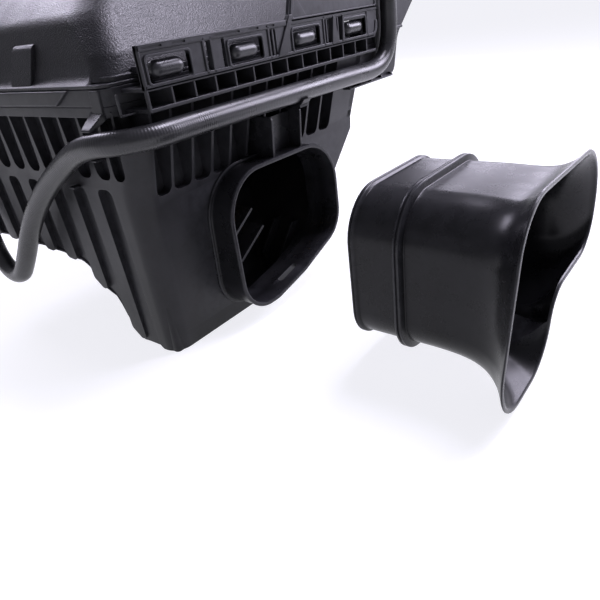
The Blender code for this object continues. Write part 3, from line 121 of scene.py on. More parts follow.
def prism(outline, axis, low, high):
    return skinned([[at(axis, p[0], p[1], depth) for p in outline] for depth in (low, high)], loop=False)


def block(low, high):
    (x0, y0, z0), (x1, y1, z1) = low, high
    return prism(((x0, y0), (x1, y0), (x1, y1), (x0, y1)), "Z", z0, z1)


def lathe(profile, foot, axis, sides=48):
    # a closed profile of (radius, height) turned about an axis; points of radius 0 close the poles
    turn = Vector(axis).to_track_quat("Z", "Y")
    rings = []
    for step in range(sides):
        angle = 2 * math.pi * step / sides
        ring = [Vector((r * math.cos(angle), r * math.sin(angle), h)) for r, h in profile]
        rings.append([Vector(foot) + turn @ p for p in ring])
    return skinned(rings)


def sleeve(outside, inside, low, high):
    return (outside, low), (outside, high), (inside, high), (inside, low)


def fillet(before, corner, after, radius, steps):
    before, corner, after = Vector(before), Vector(corner), Vector(after)
    inward, outward = (before - corner).normalized(), (after - corner).normalized()
    half = (math.pi - inward.angle(outward)) / 2
    run, weight = radius * math.tan(half), math.cos(half)
    start, end = corner + inward * run, corner + outward * run
    points = []
    for step in range(steps):
        t = step / (steps - 1)
        a, b, c = (1 - t) ** 2, 2 * weight * t * (1 - t), t * t
        points.append((start * a + corner * b + end * c) / (a + b + c))
    return points


def rounded(corners, radii, steps=7):
    points = []
    for here, corner in enumerate(corners):
        after = corners[(here + 1) % len(corners)]
        points += fillet(corners[here - 1], corner, after, radii[here], steps)
    return points


def roundedBox(xLow, xHigh, yLow, yHigh, radius, steps=7):
    return rounded(((xLow, yLow), (xHigh, yLow), (xHigh, yHigh), (xLow, yHigh)), (radius,) * 4, steps)


def outset(points, distance):
    # outward for points that run clockwise
    shifted = []
    for here, point in enumerate(points):
        along = (points[(here + 1) % len(points)] - points[here - 1]).normalized()
        shifted.append(point + Vector((-along.y, along.x)) * distance)
    return shifted


def ringPrism(outer, inner, axis, low, high):
    lines = (outer, low), (outer, high), (inner, high), (inner, low)
    return skinned([[at(axis, p[0], p[1], depth) for p in line] for line, depth in lines])


def applied(data, setUp):
    work = bpy.data.objects.new("work", data)
    home.objects.link(work)
    setUp(work)
    graph = bpy.context.evaluated_depsgraph_get()
    made = bpy.data.meshes.new_from_object(work.evaluated_get(graph))
    bpy.data.objects.remove(work)
    return made


def softened(mesh, width, segments=2, degrees=30):
    def setUp(work):
        edge = work.modifiers.new("softEdge", "BEVEL")
        edge.width = width
        edge.segments = segments
        edge.limit_method = "ANGLE"
        edge.angle_limit = math.radians(degrees)
    return applied(mesh, setUp)


def bars(table):
    return [softened(block(low, high), edge, segments) for low, high, edge, segments in table]


def carved(mesh, cutters, operation="DIFFERENCE"):
    store = bpy.data.collections.new("cutters")
    for cutter in cutters:
        store.objects.link(bpy.data.objects.new("cutter", cutter))
    home.children.link(store)

    def setUp(work):
        cut = work.modifiers.new("cut", "BOOLEAN")
        cut.operation = operation
        cut.operand_type = "COLLECTION"
        cut.collection = store
        cut.solver = "EXACT"
    made = applied(mesh, setUp)
    for thing in list(store.objects):
        bpy.data.objects.remove(thing)
    bpy.data.collections.remove(store)
    return made


def joined(*meshes):
    bm = bmesh.new()
    for mesh in meshes:
        bm.from_mesh(mesh)
    made = bpy.data.meshes.new("shape")
    bm.to_mesh(made)
    bm.free()
    return made


def bevel(bm, edges, width, segments):
    bmesh.ops.bevel(bm, geom=edges, offset=width, offset_type="OFFSET", segments=segments, profile=0.5,
                    affect="EDGES", clamp_overlap=True)


def crossed(sideOutline, frontOutline):
    # the solid common to a side profile and a front profile
    far, flat = 900, math.radians(0.2)

    def change(bm):
        bmesh.ops.remove_doubles(bm, verts=bm.verts, dist=1e-3)
        bmesh.ops.dissolve_limit(bm, angle_limit=flat, verts=bm.verts, edges=bm.edges)
    side, front = prism(sideOutline, "X", -far, far), prism(frontOutline, "Y", -far, far)
    return edited(carved(side, [front], "INTERSECT"), change)


# node helpers
def newTree(name, kind, inputs, outputs):
    tree = bpy.data.node_groups.new(name, kind)
    for direction, sockets in (("INPUT", inputs), ("OUTPUT", outputs)):
        for label, socket in sockets.items():
            tree.interface.new_socket(label, in_out=direction, socket_type="NodeSocket" + socket)
    return tree


def setSockets(node, values):
    for label, value in values.items():
        node.inputs[label].default_value = value


def wire(tree, *runs):
    for source, output, target, entry in runs:
        tree.links.new(source.outputs[output], target.inputs[entry])


def feed(tree, value, socket):
    if isinstance(value, float):
        socket.default_value = value
    else:
        tree.links.new(value, socket)


def addMaths(tree, operation, one, two):
    made = tree.nodes.new("ShaderNodeMath")
    made.operation = operation
    feed(tree, one, made.inputs[0])
    feed(tree, two, made.inputs[1])
    return made.outputs["Value"]


def addPaint(tree, source, start):
    # makes the copies plain mesh and gives them their finish
    new = tree.nodes.new
    solid, paint, end = new("GeometryNodeRealizeInstances"), new("GeometryNodeSetMaterial"), new("NodeGroupOutput")
    tree.links.new(source, solid.inputs["Geometry"])
    wire(tree, (solid, "Geometry", paint, "Geometry"), (start, "Finish", paint, "Material"),
         (paint, "Geometry", end, "Geometry"))


def grown(data, tree, values):
    def setUp(work):
        growth = work.modifiers.new(tree.name, "NODES")
        growth.node_group = tree
        for item in tree.interface.items_tree:
            if item.name in values:
                growth[item.identifier] = values[item.name]
    return applied(data, setUp)


# one row of equal parts along a line
def makeRowTree():
    inputs = {"Part": "Object", "Count": "Int", "Start": "Vector", "Step": "Vector", "Finish": "Material"}
    tree = newTree("rowOfParts", "GeometryNodeTree", inputs, {"Geometry": "Geometry"})
    new = tree.nodes.new
    start, line = new("NodeGroupInput"), new("GeometryNodeMeshLine")
    line.mode = "OFFSET"
    info, spread = new("GeometryNodeObjectInfo"), new("GeometryNodeInstanceOnPoints")
    wire(tree, (start, "Count", line, "Count"), (start, "Start", line, "Start Location"), (start, "Step", line, "Offset"),
         (start, "Part", info, "Object"), (line, "Mesh", spread, "Points"), (info, "Geometry", spread, "Instance"))
    addPaint(tree, spread.outputs["Instances"], start)
    return tree


rowTree = makeRowTree()


def row(mesh, count, start, step, finish, axis=0):
    # the start and the step lie along one axis
    part = bpy.data.objects.new("rowPart", mesh)
    home.objects.link(part)
    values = {"Part": part, "Count": count, "Finish": skins[finish]}
    for label, run in (("Start", start), ("Step", step)):
        values[label] = [float(run) if number == axis else 0.0 for number in range(3)]
    made = grown(bpy.data.meshes.new("rowCarrier"), rowTree, values)
    bpy.data.objects.remove(part)
    return made


def makeFinishGroup():
    # moulded plastic: mottled colour, outward edges lightened partly as rubbed plastic and partly as a painted edge
    # highlight, uneven gloss and a fine grain for the bump
    inputs = {"Dark": "Color", "Light": "Color", "Wear Sheen": "Color", "Edge Wear And Sheen": "Float", "Grain Scale": "Float",
              "Mottle Scale": "Float", "Rough Low": "Float", "Rough High": "Float", "Scratch": "Float"}
    outputs = {"Colour": "Color", "Roughness": "Float", "Height": "Float"}
    group = newTree("mouldedFinish", "ShaderNodeTree", inputs, outputs)
    new, link = group.nodes.new, group.links.new
    start, end, coords = new("NodeGroupInput"), new("NodeGroupOutput"), new("ShaderNodeTexCoord")
    sockets = start.outputs

    def maths(operation, one, two):
        return addMaths(group, operation, one, two)

    def noise(scale, detail, vector=None):
        made = new("ShaderNodeTexNoise")
        setSockets(made, {"Detail": detail, "Roughness": 0.6})
        feed(group, scale, made.inputs["Scale"])
        link(vector or coords.outputs["Object"], made.inputs["Vector"])
        return made.outputs["Fac"]

    def remap(value, low, high, toLow, toHigh):
        made = new("ShaderNodeMapRange")
        setSockets(made, {"From Min": low, "From Max": high})
        feed(group, toLow, made.inputs["To Min"])
        feed(group, toHigh, made.inputs["To Max"])
        link(value, made.inputs["Value"])
        return made.outputs["Result"]

    def blendColour(factor, one, two):
        made = new("ShaderNodeMix")
        made.data_type = "RGBA"
        link(factor, made.inputs["Factor"])
        link(one, made.inputs["A"])
        link(two, made.inputs["B"])
        return made.outputs["Result"]

    grain = noise(sockets["Grain Scale"], 2.0)
    mottle = noise(sockets["Mottle Scale"], 5.0)
    smear = new("ShaderNodeMapping")
    setSockets(smear, {"Rotation": (0.5, 0.9, 0.4), "Scale": (1.0, 30.0, 30.0)})
    wire(group, (coords, "Object", smear, "Vector"))
    hairline = remap(noise(38.0, 3.0, smear.outputs["Vector"]), 0.62, 0.72, 0.0, 1.0)  # sparse long scuffs
    hairline = maths("MULTIPLY", hairline, sockets["Scratch"])
    mid = remap(mottle, 0.35, 0.65, 0.0, 1.0)
    tone = blendColour(mid, sockets["Dark"], sockets["Light"])
    # outward edges are blended toward the third colour: partly rubbing and scuffs, partly a painted edge highlight
    edge = new("ShaderNodeAttribute")
    edge.attribute_name = "edge"
    rubAndSheen = maths("MULTIPLY", edge.outputs["Fac"], remap(noise(160.0, 4.0), 0.3, 0.6, 0.35, 1.0))
    rubAndSheen = maths("MULTIPLY", rubAndSheen, sockets["Edge Wear And Sheen"])
    rubAndSheen = maths("MINIMUM", maths("ADD", rubAndSheen, maths("MULTIPLY", hairline, 0.35)), 1.0)
    link(blendColour(rubAndSheen, tone, sockets["Wear Sheen"]), end.inputs["Colour"])
    gloss = maths("ADD", maths("MULTIPLY", mid, 0.7), maths("MULTIPLY", grain, 0.3))
    link(remap(gloss, 0.1, 0.9, sockets["Rough Low"], sockets["Rough High"]), end.inputs["Roughness"])
    link(maths("ADD", grain, maths("MULTIPLY", hairline, -0.8)), end.inputs["Height"])
    return group


finishGroup = makeFinishGroup()
plainLook = {"wearAndSheen": 0.5, "grain": 2200.0, "mottle": 45.0, "scratch": 0.2, "bump": 0.25, "depth": 0.0002,
             "metal": 0.0, "specular": 0.5}


def moulded(name, look):
    look = {**plainLook, **look}
    made = bpy.data.materials.new(name)
    made.use_nodes = True
    tree = made.node_tree
    shader = tree.nodes["Principled BSDF"]
    finish, bump = tree.nodes.new("ShaderNodeGroup"), tree.nodes.new("ShaderNodeBump")
    finish.node_tree = finishGroup
    setSockets(finish, {label: (*look[label.lower()], 1.0) for label in ("Dark", "Light", "Wear Sheen")})
    setSockets(finish, {"Edge Wear And Sheen": look["wearAndSheen"], "Grain Scale": look["grain"], "Mottle Scale": look["mottle"],
                        "Rough Low": look["rough"][0], "Rough High": look["rough"][1], "Scratch": look["scratch"]})
    setSockets(bump, {"Strength": look["bump"], "Distance": look["depth"]})
    setSockets(shader, {"Metallic": look["metal"], "Specular IOR Level": look["specular"]})
    wire(tree, (finish, "Colour", shader, "Base Color"), (finish, "Roughness", shader, "Roughness"),
         (finish, "Height", bump, "Height"), (bump, "Normal", shader, "Normal"))
    return made


# the third colour of each finish goes on outward edges: rubbed plastic, and partly a painted highlight along the edges
finishes = {
    "charcoalPlastic": {"dark": (0.0085, 0.0085, 0.0098), "light": (0.0135, 0.0135, 0.0155), "wear sheen": (0.055, 0.055, 0.062),
        "rough": (0.34, 0.46), "bump": 0.12, "grain": 1500.0, "specular": 0.245},
    "grainedPlastic": {"dark": (0.0085, 0.0082, 0.0095), "light": (0.013, 0.0126, 0.0148), "wear sheen": (0.05, 0.05, 0.056),
        "rough": (0.30, 0.40), "bump": 0.75, "grain": 1000.0, "depth": 0.0005, "specular": 0.31},
    "satinPlastic": {"dark": (0.0075, 0.0075, 0.0088), "light": (0.012, 0.012, 0.014), "wear sheen": (0.05, 0.05, 0.056),
        "rough": (0.24, 0.34), "bump": 0.05, "grain": 1800.0, "specular": 0.4},
    "glossyBlack": {"dark": (0.0045, 0.0045, 0.0052), "light": (0.0085, 0.0085, 0.0098), "wear sheen": (0.05, 0.05, 0.056),
        "rough": (0.24, 0.33), "bump": 0.05, "scratch": 0.3, "grain": 900.0, "specular": 0.20},
    "hoseRubber": {"dark": (0.010, 0.010, 0.0112), "light": (0.016, 0.0158, 0.0178), "wear sheen": (0.05, 0.05, 0.054),
        "rough": (0.24, 0.36), "bump": 0.10, "grain": 1600.0, "specular": 0.46},
    "blackRubber": {"dark": (0.008, 0.008, 0.0085), "light": (0.014, 0.014, 0.0145), "wear sheen": (0.05, 0.05, 0.05),
        "rough": (0.55, 0.75), "bump": 0.3, "grain": 1800.0, "specular": 0.35},
    "filterPaper": {"dark": (0.60, 0.50, 0.30), "light": (0.72, 0.62, 0.42), "wear sheen": (0.8, 0.72, 0.55),
        "rough": (0.8, 0.95), "bump": 0.4, "grain": 1400.0, "wearAndSheen": 0.2, "scratch": 0.0},
    "sealFoam": {"dark": (0.018, 0.018, 0.019), "light": (0.032, 0.032, 0.034), "wear sheen": (0.08, 0.08, 0.08),
        "rough": (0.75, 0.9), "bump": 0.6, "grain": 700.0, "depth": 0.0005, "scratch": 0.0},
    "zincSteel": {"dark": (0.46, 0.47, 0.48), "light": (0.62, 0.63, 0.64), "wear sheen": (0.8, 0.8, 0.8),
        "rough": (0.24, 0.42), "metal": 1.0, "bump": 0.06, "mottle": 260.0},
    "brass": {"dark": (0.56, 0.40, 0.16), "light": (0.72, 0.54, 0.25), "wear sheen": (0.9, 0.75, 0.45),
        "rough": (0.25, 0.42), "metal": 1.0, "bump": 0.05, "mottle": 200.0},
}
skins = {name: moulded(name, look) for name, look in finishes.items()}
print("finishes made:", len(skins))


def markEdges(mesh):
    # how strongly each point stands on an outward edge, kept as an attribute for the rubbed edges and the painted edge
    # highlight
    fullWearAndSheen = 0.6  # radians
    bm = bmesh.new()
    bm.from_mesh(mesh)
    values = []
    for vert in bm.verts:
        bend = 0.0
        for edge in vert.link_edges:
            if len(edge.link_faces) == 2 and edge.is_convex:
                bend = max(bend, edge.calc_face_angle(0.0))
        values.append(min(1.0, bend / fullWearAndSheen))
    bm.free()
    store = mesh.attributes.get("edge") or mesh.attributes.new("edge", "FLOAT", "POINT")
    store.data.foreach_set("value", values)


def finishPiece(name, mesh, finish, body, *nodes, smooth=40):
    # scales to metres, smooths with weighted normals, then hands the piece to its body
    def clean(bm):
        bmesh.ops.remove_doubles(bm, verts=bm.verts, dist=1e-7)
        bmesh.ops.dissolve_degenerate(bm, dist=1e-7, edges=bm.edges)
        bmesh.ops.recalc_face_normals(bm, faces=bm.faces)

    def setUp(work):
        even = work.modifiers.new("evenNormals", "WEIGHTED_NORMAL")
        even.keep_sharp = True
        even.weight = 80
    mesh = mesh.copy()
    mesh.transform(Matrix.Scale(mm, 4))
    edited(mesh, clean)
    mesh.polygons.foreach_set("use_smooth", [True] * len(mesh.polygons))
    mesh.set_sharp_from_angle(angle=math.radians(smooth))
    markEdges(mesh)
    mesh = applied(mesh, setUp)
    mesh.name = name
    mesh.materials.clear()
    mesh.materials.append(skins[finish])
    piece = bpy.data.objects.new(name, mesh)
    home.objects.link(piece)
    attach(piece, body)
    if nodes:
        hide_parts(*nodes)
    return piece


# breather hose: the route of the CAD solid
hose = {
    "radius": 7.1, "ribPitch": 1.7, "ribHeight": 0.10, "sides": 32,
    "route": (
        (221, -46, 237.5), (221, -46, 224.6), (221, -46, 211.7), (221, -46, 198.8), (221.2, -45.8, 185.4),
        (219.3, -45.5, 172.7), (213.3, -45.2, 162.1), (203.3, -44.8, 155.4), (190.6, -44.5, 152.9), (177.4, -44.4, 152.6),
        (164.3, -44.3, 152.9), (138.5, -44.3, 153.2), (112.7, -44.3, 153.4), (86.9, -44.3, 153.5), (61.1, -44.3, 153.7),
        (35.3, -44.3, 153.9), (9.6, -44.3, 154.1), (-16.4, -44.3, 154.2), (-27.6, -44.3, 154.2), (-38.6, -44.3, 154.2),
        (-49, -42.2, 154.1), (-57.9, -36.3, 154), (-63.8, -27.4, 153.7), (-65.9, -17, 153), (-66.4, -5.4, 151.1),
        (-66.3, 7.2, 147.5), (-66, 19.1, 142.5), (-66, 30.7, 136.7), (-66.1, 42.1, 130.6), (-66.4, 53.2, 124),
        (-66.8, 63.9, 116.9), (-67.3, 74.2, 109.2), (-67.9, 84.1, 101), (-68.4, 93.6, 92.2), (-68.9, 102.5, 83),
        (-69.3, 111.1, 73.3), (-69.7, 120, 63), (-70.1, 131.4, 50.8), (-70.3, 139.5, 43.7), (-70.2, 149.6, 40.3),
        (-69.6, 160.3, 40.8), (-68.7, 170, 45.3), (-67.7, 177.2, 53.2), (-66.9, 180.9, 62.2), (-66.3, 184.6, 74.6),
        (-65.9, 189, 86.4), (-65.6, 193.8, 98), (-65.5, 197.7, 108.5), (-65.5, 199.4, 118.1), (-65.5, 199.4, 131),
    ),
}


def smoothRoute(points, share=16):
    points = [Vector(p) for p in points]
    points = [2 * points[0] - points[1]] + points + [2 * points[-1] - points[-2]]
    dense = []
    for here in range(1, len(points) - 2):
        a, b, c, d = points[here - 1:here + 3]
        square, cube = 2 * a - 5 * b + 4 * c - d, 3 * b - a - 3 * c + d
        for part in range(share):
            t = part / share
            dense.append(0.5 * (2 * b + (c - a) * t + square * t * t + cube * t ** 3))
    return dense + [points[-2]]


def makeHoseTree():
    # a tube along the line with fine rings rolled into it
    inputs = {"Line": "Geometry", "Radius": "Float", "Rib Pitch": "Float", "Rib Height": "Float", "Sides": "Int",
              "Finish": "Material"}
    tree = newTree("ribbedHose", "GeometryNodeTree", inputs, {"Geometry": "Geometry"})
    new, link = tree.nodes.new, tree.links.new
    start = new("NodeGroupInput")
    pitch, height = start.outputs["Rib Pitch"], start.outputs["Rib Height"]

    def maths(operation, one, two):
        return addMaths(tree, operation, one, two)

    fine = new("GeometryNodeResampleCurve")
    fine.mode = "LENGTH"
    link(maths("DIVIDE", pitch, 4.0), fine.inputs["Length"])
    run = new("GeometryNodeSplineParameter")
    turns = maths("DIVIDE", run.outputs["Length"], pitch)
    wave = maths("SINE", maths("MULTIPLY", turns, 2 * math.pi), 0.0)
    half = maths("MULTIPLY", height, 0.5)
    swell = maths("ADD", maths("MULTIPLY", wave, half), start.outputs["Radius"])
    size, circle = new("GeometryNodeSetCurveRadius"), new("GeometryNodeCurvePrimitiveCircle")
    link(maths("SUBTRACT", swell, half), size.inputs["Radius"])
    circle.inputs["Radius"].default_value = 1.0
    tube = new("GeometryNodeCurveToMesh")
    tube.inputs["Fill Caps"].default_value = True
    wire(tree, (start, "Line", fine, "Curve"), (fine, "Curve", size, "Curve"), (start, "Sides", circle, "Resolution"),
         (size, "Curve", tube, "Curve"), (circle, "Curve", tube, "Profile Curve"))
    if "Scale" in tube.inputs:
        wire(tree, (new("GeometryNodeInputRadius"), "Radius", tube, "Scale"))
    addPaint(tree, tube.outputs["Mesh"], start)
    return tree


hoseLine = smoothRoute(hose["route"])
guide = bpy.data.curves.new("hoseLine", "CURVE")
guide.dimensions = "3D"
strand = guide.splines.new("POLY")
strand.points.add(len(hoseLine) - 1)
for point, place in zip(strand.points, hoseLine):
    point.co = (*place, 1.0)
hoseMesh = grown(guide, makeHoseTree(), {
    "Radius": hose["radius"], "Rib Pitch": hose["ribPitch"], "Rib Height": hose["ribHeight"], "Sides": hose["sides"],
    "Finish": skins["hoseRubber"]})
hosePiece = finishPiece("breatherHose", hoseMesh, "hoseRubber", "tray", "breather_hose", smooth=60)
hoseLength = sum((b - a).length for a, b in zip(hoseLine, hoseLine[1:])) * mm
print("hose made, %.3f m" % hoseLength)


# tray walls: a flat pattern of slots, fins and grooves, wrapped round the left face, the corner and the front
tray = {
    "left": -56.6, "leftFoot": -51, "front": -40, "frontKnee": -24.5, "frontFoot": -18, "knee": 116,
    "top": 169, "cornerTop": 16.4, "cornerFoot": 13, "slotBackX": -49.5, "slotBackY": -16.5, "slotBackRadius": 3,
    "skinDeep": 4, "edge": 0.8, "sideStart": -2, "sideEnd": 205, "cornerRun": 46, "frontStart": -38,
    "frontLine": ((0, 0), (125, 0), (221, 106), (222.6, 169)), "slotEnd": 177.5,
    "sideSlots": (-18.8, 21.2, 11, 9.7, 128, 2.2), "slotRadius": 6.2, "grooves": (9, 29.8, 7, 7.75, 121),
    "cornerSlots": ((7.4, 20, 128, 5), (21.8, 41.8, 157, 1.5), (43.6, 56.6, 114, 5)),
    "frontSlots": (-25.2, 17.66, 10, 15.46, 114), "footRadius": 5, "toeRadius": 4.5, "toeReach": 8,
    "floorLine": ((-60, 0), (21, 0), (29, 7), (37, 19), (40.5, 32), (57, 42), (66, 53),
                  (74, 57.5), (110, 61), (205, 62), (260, 63)),
    "lip": (2.6, 1.1, 1.2), "lipRun": (204, 3, 70), "lipInside": -46, "lipEdge": 0.8,
    "tabs": (((-60.5, -1, 140.4), (-52, 4.5, 141.9), 0.4, 2), ((-60.5, 34, 120.6), (-52, 40, 121.9), 0.4, 2)),
}
cornerRun, trayTop = tray["cornerRun"], tray["top"]


def leftFace(z):
    return tray["left"] + (tray["leftFoot"] - tray["left"]) * (trayTop - z) / trayTop


def frontFace(z):
    knee, kneeFace = tray["knee"], tray["frontKnee"]
    if z >= knee:
        return kneeFace + (tray["front"] - kneeFace) * (z - knee) / (trayTop - knee)
    return kneeFace + (tray["frontFoot"] - kneeFace) * (knee - z) / knee


def cornerPoint(share, x, y, radius):
    # along the end of the left face, round the corner and along the start of the front
    first, arc, last = tray["sideStart"] - y - radius, math.pi * radius / 2, tray["frontStart"] - x - radius
    run = share * (first + arc + last)
    if run < first:
        return (x, tray["sideStart"] - run)
    if run < first + arc:
        angle = (run - first) / radius
        return (x + radius - radius * math.cos(angle), y + radius - radius * math.sin(angle))
    return (x + radius + run - first - arc, y)


def unrolled(y):
    return tray["sideStart"] - y


def onWall(u, z, depth):
    radius = tray["cornerFoot"] + (tray["cornerTop"] - tray["cornerFoot"]) * z / trayTop
    backX, backY = tray["slotBackX"], tray["slotBackY"]
    if u <= 0:
        face, back = (leftFace(z), unrolled(u)), (backX, unrolled(u))
    elif u >= cornerRun:
        x = tray["frontStart"] + u - cornerRun
        face, back = (x, frontFace(z)), (x, backY)
    else:
        face = cornerPoint(u / cornerRun, leftFace(z), frontFace(z), radius)
        back = cornerPoint(u / cornerRun, backX, backY, tray["slotBackRadius"])
    face, back = Vector((*face, z)), Vector((*back, z))
    if depth > tray["skinDeep"]:
        return back
    return face + (back - face).normalized() * depth


def slotChain(low, high, foot, top, radius, taper=0, steps=6):
    # one open slot, down one side, round its foot and up the other
    left, right, rest = low + taper + radius, high - taper - radius, foot + radius
    quarter = [k * math.pi / 2 / steps for k in range(steps + 1)]
    points = [(low, top)]
    points += [(left - radius * math.cos(a), rest - radius * math.sin(a)) for a in quarter]
    points += [(right + radius * math.sin(a), rest - radius * math.cos(a)) for a in quarter]
    return points + [(high, top)]


def sideFloor(y):
    for (a, za), (b, zb) in zip(tray["floorLine"], tray["floorLine"][1:]):
        if a <= y <= b:
            return za + (zb - za) * (y - a) / (b - a)


def wallPattern():
    # the lower line with its grooves and round toes, then the slots along the top
    start, pitch, count, half, top = tray["grooves"]
    toe, radius, beyond = tray["toeRadius"], tray["footRadius"], tray["toeReach"]
    upward = Vector((0, 20))
    outline = [(unrolled(tray["sideEnd"]), sideFloor(tray["sideEnd"]))]
    for number in range(count - 1, -1, -1):
        low, high = start + pitch * number - half, start + pitch * number + half
        spots = (high + beyond, high, low, low - beyond)
        before, entry, leave, after = (Vector((unrolled(y), sideFloor(y))) for y in spots)
        outline += fillet(before, entry, entry + upward, toe, 5)
        groove = slotChain(unrolled(high), unrolled(low), 0, top, radius)
        outline += [(u, top - z) for u, z in groove[1:-1]]
        outline += fillet(leave + upward, leave, after, toe, 5)
        gap = low - toe, low - pitch + 2 * half + toe
        outline += [(unrolled(y), z) for y, z in reversed(tray["floorLine"]) if gap[1] < y < gap[0]]
    outline += [(0, 0)] + [(cornerRun + u, z) for u, z in tray["frontLine"]]
    upper = []
    start, pitch, count, half, foot, taper = tray["sideSlots"]
    for number in range(count - 1, 0, -1):
        middle = unrolled(start + pitch * number)
        upper += slotChain(middle - half, middle + half, foot, trayTop, tray["slotRadius"], taper)
    for low, high, foot, curve in tray["cornerSlots"]:  # the second is the open corner above the hose
        upper += slotChain(low, high, foot, trayTop, curve)
    low, pitch, count, wide, foot = tray["frontSlots"]
    shift = cornerRun - tray["frontStart"]
    for number in range(count):
        x = low + pitch * number
        upper += slotChain(shift + x, shift + min(x + wide, tray["slotEnd"]), foot, trayTop, radius)
    return outline + upper[::-1] + [(-215, trayTop)]


def combSkin(outline, place, cutsAcross, cutsUp, edge):
    # the flat pattern with its front edges rounded, then wrapped on to the wall
    def change(bm):
        bevel(bm, [e for e in bm.edges if all(abs(v.co.z) < 1e-6 for v in e.verts)], edge, 3)
        for axis, cuts in ((xAxis, cutsAcross), (yAxis, cutsUp)):
            for cut in cuts:
                everything = bm.verts[:] + bm.edges[:] + bm.faces[:]
                bmesh.ops.bisect_plane(bm, geom=everything, dist=1e-4, plane_co=Vector(axis) * cut, plane_no=axis)
        bmesh.ops.triangulate(bm, faces=[f for f in bm.faces if len(f.verts) > 4])
        for vert in bm.verts:
            vert.co = place(vert.co.x, vert.co.y, -vert.co.z)
        bmesh.ops.recalc_face_normals(bm, faces=bm.faces)
    return edited(prism(outline, "Z", -10, 0), change)


acrossCuts = [cornerRun * k / 24 for k in range(25)]
upCuts = [12 * k for k in range(1, 10)] + [116, 122, 128, 140, 154]
wallSkin = combSkin(wallPattern(), onWall, acrossCuts, upCuts, tray["edge"])

# back and right walls carry the same row of slots; a face is its place, lean and foot
plain = {
    "pitch": 21.2, "wide": 19, "foot": 128, "radius": 6, "taper": 2,
    "back": {"line": ((-51, 62), (144.5, 62), (183, 106), (184.6, 169)), "end": ((-56.6, 169),),
             "first": -46, "count": 10, "face": (205, 8 / 107, 62), "deep": 203},
    "right": {"line": ((-21, 100), (210, 100), (213, 169)), "end": ((-40, 169), (-24.5, 116)),
              "first": 14.1, "count": 9, "face": (183, 2 / 63, 106), "deep": 177.5},
}


def slottedSkin(wall, axis):
    face, lean, foot = wall["face"]

    def place(run, z, depth):
        out = wall["deep"] if depth > tray["skinDeep"] else face + lean * (z - foot) - depth
        return at(axis, run, z, out)
    outline = []
    for number in range(wall["count"]):
        low = wall["first"] + plain["pitch"] * number
        outline += slotChain(low, low + plain["wide"], plain["foot"], trayTop, plain["radius"], plain["taper"])
    outline = [*wall["line"], *outline[::-1], *wall["end"]]
    return combSkin(outline, place, (), (plain["foot"],), tray["edge"])


backSkin, rightSkin = slottedSkin(plain["back"], "Y"), slottedSkin(plain["right"], "X")

# the box behind the skins, open at the top and at the inlet
ramp = [p for p in tray["floorLine"] if 0 < p[0] < 200]
floorThick, rampShift = 3, -1.6
outerSide = [(-17, 170), (-17, 0)] + ramp + [(204.2, 62), (204.2, 170)]
outerFront = [(-49.6, 170), (-49.6, 0), (87, 0), (178, 100.5), (178, 170)]
innerRamp = [(y + rampShift, z + floorThick) for y, z in ramp]
innerSide = [(-13.5, 200), (-13.5, floorThick)] + innerRamp + [(201.5, 65), (201.5, 200)]
innerFront = [(-46.5, 200), (-46.5, floorThick), (85.5, floorThick), (174.5, 101), (174.5, 200)]


def roundCorner(bm):
    # the upright edge between the left and the front
    radius, segments, facing = 12, 6, -0.9
    normals = {e: [f.normal for f in e.link_faces] for e in bm.edges}
    chosen = [e for e, pair in normals.items() if min(n.x for n in pair) < facing and min(n.y for n in pair) < facing]
    bevel(bm, chosen, radius, segments)


shell = softened(edited(crossed(outerSide, outerFront), roundCorner), 1.5, 3)
cavity = softened(crossed(innerSide, innerFront), 2, 3)
mouth = {"corners": ((-0.5, 115.5), (125, 114), (125, 37), (70, 17.5), (35, 10), (-0.5, 10)),
         "radii": (34, 36, 26, 40, 30, 27), "wall": 2.6}
collarLine = rounded(mouth["corners"], mouth["radii"], 12)
mouthCut = prism(outset(collarLine, -mouth["wall"]), "Y", -60, 0)
shell = carved(shell, [cavity, mouthCut])
wallSkin = carved(wallSkin, [mouthCut])

# wavy lip that closes the grooves along the lower edge
thick, sink, swing = tray["lip"]
start, pitch, count = tray["lipRun"]
inside, edge = tray["lipInside"], tray["lipEdge"]
lipRings = []
for step in range(count):
    y = start - pitch * step
    low = sideFloor(y)
    high = low + thick
    x = leftFace(low) + sink + swing * (0.5 + 0.5 * math.cos(2 * math.pi * (y - tray["grooves"][0]) / tray["grooves"][1]))
    lipRings.append([(x + edge, y, low), (inside, y, low), (inside, y, high), (x + edge, y, high),
                     (x, y, high - edge), (x, y, low + edge)])
wallParts = [shell, wallSkin, backSkin, rightSkin, skinned(lipRings, loop=False)] + bars(tray["tabs"])
finishPiece("trayWalls", joined(*wallParts), "charcoalPlastic", "tray", "lower_housing")
print("tray walls made")

# rim, raised strip, corner strap, screw bosses and legs
rim = {"box": (-57, 207, -23, 217), "corner": 7, "low": 166, "high": 181.7, "seat": 172,
       "ledge": (-51.5, 179.5, -18.5, 207.5), "inside": (-46.5, 174.5, -13.5, 202.5), "insideCorner": 3,
       "strip": ((11, 181.5), (27, 173), (210, 173), (210, 181.5)), "stripX": (-59, -55),
       "strap": ((-19, 181), (-10.4, 181), (-7.6, 165.4), (-18, 165.4)), "strapX": (-58, -55),
       "boss": ((8.5, 166), (8.5, 181.7), (4.35, 181.7), (4.35, 169.2), (2.75, 169.2), (2.75, 166)),
       "screws": ((-30, 221), (75, 221), (180, 221), (211, 97)), "bossRibs": (-8, 8),
       "bossRib": ((-1, 214, 150), (1, 220, 168)),
       "legs": ((75, 187), (160, 187)), "legHalf": 12, "legHeight": (9.3, 152), "legBore": (5.35, 17.5)}
rimLine = roundedBox(*rim["box"], rim["corner"])
ledge = roundedBox(*rim["ledge"], rim["corner"])
inside = roundedBox(*rim["inside"], rim["insideCorner"])
